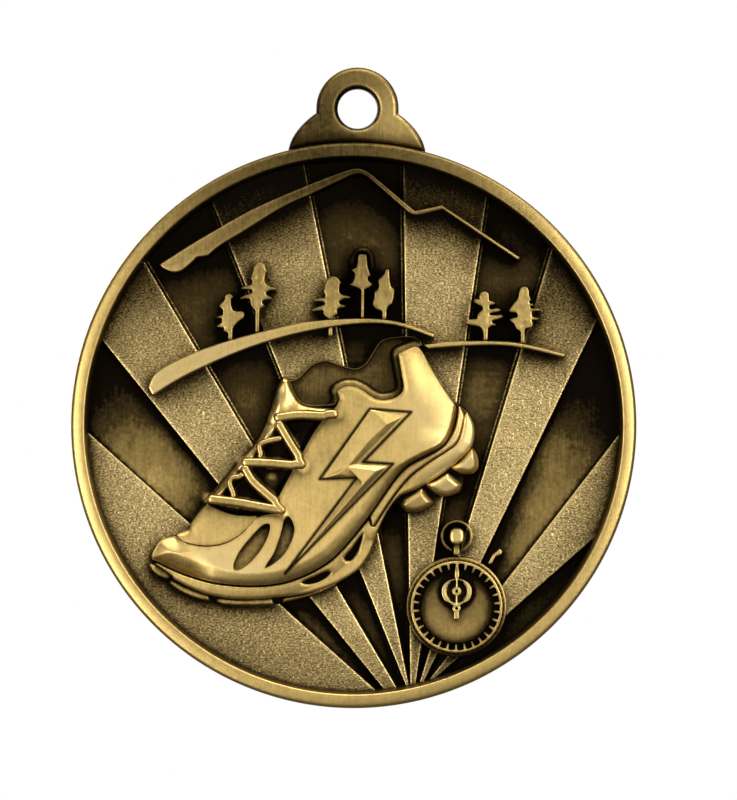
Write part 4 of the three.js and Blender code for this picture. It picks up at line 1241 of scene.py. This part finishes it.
def turned(name, profile, open_values):
    """A ring swept from a closed profile of [radius, height] points."""
    n = len(profile)
    around = circle(1, RING_STEPS)
    radii, heights = np.array(profile, float).T
    points = (around[:, None, :] * radii[None, :, None]).reshape(-1, 2)
    i, j = np.meshgrid(np.arange(RING_STEPS), np.arange(n), indexing="ij")
    here, onwards = i * n, (i + 1) % RING_STEPS * n
    across = (j + 1) % n
    corners = (here + j, here + across, onwards + across, onwards + j)
    faces = np.column_stack([corner.ravel() for corner in corners])
    # painted shade on the rim's top, towards the left, and painted shade towards the disc's top
    rim_top_shade = 1 - 0.14 * np.exp(-(((points[:, 0] + 6) / 12) ** 2)) * (points[:, 1] > 0)
    values = np.tile(open_values, RING_STEPS) * tarnish(points) * rim_top_shade
    vertices = place(points, np.tile(heights, RING_STEPS))
    ring = mesh_object(name, vertices, faces, values, MATERIALS["rim"], 30)
    return keep(ring, [name])


def arc_points(centre, radius, start, end, count):
    angle = np.radians(np.linspace(start, end, count))
    return [(centre[0] + radius * math.cos(a), centre[1] + radius * math.sin(a)) for a in angle]


RIM_ROUND = 0.4
inner = [(FIELD_FOOT_R - 0.3, SUNK - 0.1), (FIELD_FOOT_R - 0.28, SUNK)]
inner += [(FIELD_FOOT_R - 0.18, RAY_TOP + 0.02), (FIELD_FOOT_R + 0.02, RIM_TOP - 0.5)]
inner += arc_points((23.92, RIM_TOP - 0.17), 0.17, 160, 96, 5)
crest = [(24.1, RIM_TOP), (24.3, RIM_TOP - 0.01), (24.5, RIM_TOP - 0.035)]
outer = arc_points((DISC_R - RIM_ROUND, RIM_TOP - RIM_ROUND - 0.05), RIM_ROUND, 76, 0, 8)
side = [(DISC_R, 2.4), (DISC_R, 1.2), (DISC_R - 0.02, 0.45), (DISC_R - 0.45, 0.4)]
rim_profile = inner + crest + outer + side
rim_open = [0.15, 0.2, 0.35, 0.6] + [0.85, 0.92, 0.96, 0.98, 1.0] + [0.98] * 3 + [0.98] * 8
rim_open += [0.9, 0.85, 0.8, 0.5]
turned("rim", rim_profile, rim_open)
BACK_INNER_R = 22.4
back_profile = [(BACK_INNER_R, BACK_FIELD + 0.1), (DISC_R - 0.02, BACK_FIELD + 0.1)]
back_profile += arc_points((DISC_R - 0.3, 0.3), 0.3, 0, -90, 7)
back_profile += arc_points((BACK_INNER_R + 0.3, 0.1), 0.1, -90, -170, 4)
back_open = [0.3, 0.8] + [0.9] * 7 + [0.95, 0.95, 0.9, 0.5]
turned("back_rim", back_profile, back_open)

# ---- back face: plain, with the die's fine grain ----
back_loop = circle(BACK_INNER_R + 0.2, RING_STEPS)
back_grid = hex_grid(back_loop.min(0), back_loop.max(0), 0.24)
back_grid = back_grid[off_centre(back_grid) < BACK_INNER_R]
back_flat, back_faces = triangulate(np.concatenate([back_loop, back_grid]), [back_loop], -1)
to_wall = BACK_INNER_R - off_centre(back_flat)
back_heights = BACK_FIELD - 0.04 + 0.015 * stipple(back_flat) * smoothstep(0.1, 0.5, to_wall)
back_values = 0.9 - 0.65 * np.exp(-np.maximum(to_wall, 0) / 0.9)
# a wall and a lid inside the plate close it
lid = triangulate(back_loop, [back_loop], 1)[1]
a = np.arange(len(back_loop))
b = (a + 1) % len(back_loop)
above_a, above_b = a + len(back_flat), b + len(back_flat)
back_walls = [np.column_stack([a, b, above_b]), np.column_stack([a, above_b, above_a])]
back_faces = np.concatenate([back_faces, *back_walls, lid + len(back_flat)])
back_flat = np.concatenate([back_flat, back_loop])
back_heights = np.append(back_heights, np.full(len(back_loop), BACK_FIELD + 0.1))
back_values = np.append(back_values, np.full(len(back_loop), 0.2))
back_points = place(back_flat, back_heights)
keep(mesh_object("back_face", back_points, back_faces, back_values, MATERIALS["back"]))

# ---- ribbon lug ----
LUG_BEVEL = 0.5
lug_edge = refine(oriented([cad_loops("ribbon_lug", depth=LUG_BEVEL)[0]])[0], 0.12, corner=25)
EYE_R, EYE_MOUTH_R = 1.75, 2.15
EYE_WAIST = 0.4
eye_loop = circle(EYE_R, 96, 0, EYE_Z)[::-1]
LUG_MID = (LUG_FRONT + LUG_BACK) / 2
LUG_HALF = (LUG_FRONT - LUG_BACK) / 2


def lug_top(points, d):
    """Flat, bevelled along its outline and rounded into the eye, above the lug's middle plane."""
    from_eye = off_centre(points - (0, EYE_Z)) - EYE_R
    off_edge = distance(points, [lug_edge])
    rise = np.full(len(points), LUG_HALF)
    rise -= LUG_BEVEL * (1 - quarter(off_edge / LUG_BEVEL))
    mouth = EYE_MOUTH_R - EYE_R
    rise -= (LUG_HALF - EYE_WAIST) * (1 - quarter(from_eye / mouth)) * (from_eye < mouth)
    return rise


half_spec = {
    "name": "lug",
    "loops": oriented([lug_edge, eye_loop]),
    "top": lug_top,
    "foot": 0.0,
    "step": 0.13,
    "bevel": 0.06,
    "draft": 0,
    "wall": (),
}
# the front half without its bottom, and its mirror image, which shares the seam's points
half_points, half_rises, half_faces, half_shares = geometry(half_spec)
half_faces = half_faces[(half_shares[half_faces] < 1).any(1)]
off_seam = int((half_shares < 1).sum())
mirrored = half_faces + len(half_points) * (half_faces < off_seam)
lug_points = np.concatenate([half_points, half_points[:off_seam]])
lug_heights = LUG_MID + np.concatenate([half_rises, -half_rises[:off_seam]])
lug_faces = np.concatenate([half_faces, mirrored[:, ::-1]])
off_disc = off_centre(lug_points) - DISC_R
# painted light on the lug: lighter towards the right, where the light falls, paler farther from the disc,
# patina at its foot beside the rim, darkest inside the eye, and a painted highlight round the eye's mouth
lug_open = 0.42 + 0.42 * smoothstep(-3.2, 3.6, lug_points[:, 0])
lug_open = lug_open + (0.62 - lug_open) * 0.7 * smoothstep(2.5, 6, off_disc)
lug_open *= 0.55 + 0.45 * smoothstep(0.0, 1.4, off_disc)
off_eye = off_centre(lug_points - (0, EYE_Z))
lug_open = np.where(off_eye < EYE_R + 0.12, 0.05, lug_open)
lug_open += 0.15 * np.exp(-(((off_eye - EYE_MOUTH_R) / 0.1) ** 2))
lug_vertices = place(lug_points, lug_heights)
lug = mesh_object("ribbon_lug", lug_vertices, lug_faces, lug_open, MATERIALS["rim"])
keep(lug, ["ribbon_lug"])

# ---- stage, light and camera ----
scene = bpy.context.scene
scene.view_settings.view_transform = "Standard"
scene.view_settings.look = "None"

FLOOR_Z = -0.55
FLOOR_HALF = 0.9
floor_mesh = bpy.data.meshes.new("floor")
floor_mesh.from_pydata(
    [(x * FLOOR_HALF, y * FLOOR_HALF, 0) for x, y in ((-1, -1), (1, -1), (1, 1), (-1, 1))],
    [],
    [(0, 1, 2, 3)],
)
floor = bpy.data.objects.new("floor", floor_mesh)
floor.location.z = FLOOR_Z
floor.visible_glossy = False
scene.collection.objects.link(floor)
floor_material = bpy.data.materials.new("floor_paper")
floor_material.use_nodes = True
floor_shader = floor_material.node_tree.nodes["Principled BSDF"]
floor_shader.inputs["Base Color"].default_value = (0.86, 0.86, 0.85, 1)
floor_shader.inputs["Roughness"].default_value = 0.8
floor_mesh.materials.append(floor_material)


def area_light(name, position, size, power, spread, target=(0, 0, -0.028)):
    data = bpy.data.lights.new(name, "AREA")
    data.shape = "RECTANGLE"
    data.size, data.size_y = size
    data.energy = power
    data.spread = math.radians(spread)
    light = bpy.data.objects.new(name, data)
    light.location = position
    towards = Vector(target) - Vector(position)
    light.rotation_euler = towards.to_track_quat("-Z", "Y").to_euler()
    light.visible_camera = False
    scene.collection.objects.link(light)
    return light


area_light("softbox_above", (0.02, -0.13, 0.27), (0.50, 0.18), 0.42, 90)
area_light("softbox_left", (-0.19, -0.32, -0.09), (0.14, 0.22), 0.34, 150)
area_light("softbox_right", (0.20, -0.31, 0.03), (0.14, 0.22), 0.36, 150)
area_light("softbox_behind", (-0.12, 0.42, 0.12), (0.5, 0.5), 1.7, 150)
wash = area_light("floor_wash", (0, 0, -0.2), (3.0, 3.0), 38.0, 170, target=(0, 0.001, -0.6))
wash.visible_glossy = False
area_light("card_in_front", (0.0, -0.80, 0.0), (0.70, 0.60), 0.30, 170)

world = bpy.data.worlds.new("studio")
scene.world = world
world.use_nodes = True
nodes, links = world.node_tree.nodes, world.node_tree.links
background = nodes["Background"]
background.inputs["Color"].default_value = (0.09, 0.085, 0.075, 1)
white = nodes.new("ShaderNodeBackground")
white.inputs["Color"].default_value = (1, 1, 1, 1)
path = nodes.new("ShaderNodeLightPath")
mixed = nodes.new("ShaderNodeMixShader")
links.new(path.outputs["Is Camera Ray"], mixed.inputs["Fac"])
links.new(background.outputs["Background"], mixed.inputs[1])
links.new(white.outputs["Background"], mixed.inputs[2])
links.new(mixed.outputs["Shader"], nodes["World Output"].inputs["Surface"])

CAMERA_Y = -0.45
ROLL = math.radians(0.685)
VIEW_HEIGHT = 70.72 * MM
SILHOUETTE_Y = -0.0015
ASIDE, ABOVE = 1.317 * MM, 2.245 * MM  # the picture's middle, from the disc's centre
SENSOR = 24
centre = Vector((DISC_X, 0, DISC_Z)) * MM
right = Vector((math.cos(ROLL), 0, math.sin(ROLL)))
up = Vector((-math.sin(ROLL), 0, math.cos(ROLL)))
camera_data = bpy.data.cameras.new("camera")
camera_data.sensor_fit = "VERTICAL"
camera_data.sensor_height = SENSOR
camera_data.lens = SENSOR * (SILHOUETTE_Y - CAMERA_Y) / VIEW_HEIGHT
camera_data.clip_start = 0.01
camera_data.clip_end = 10
camera = bpy.data.objects.new("camera", camera_data)
camera.matrix_world = Matrix.Translation(
    centre + right * ASIDE + up * ABOVE + Vector((0, CAMERA_Y, 0))
) @ (Matrix.Rotation(math.pi / 2, 4, "X") @ Matrix.Rotation(ROLL, 4, "Z"))
scene.collection.objects.link(camera)
scene.camera = camera
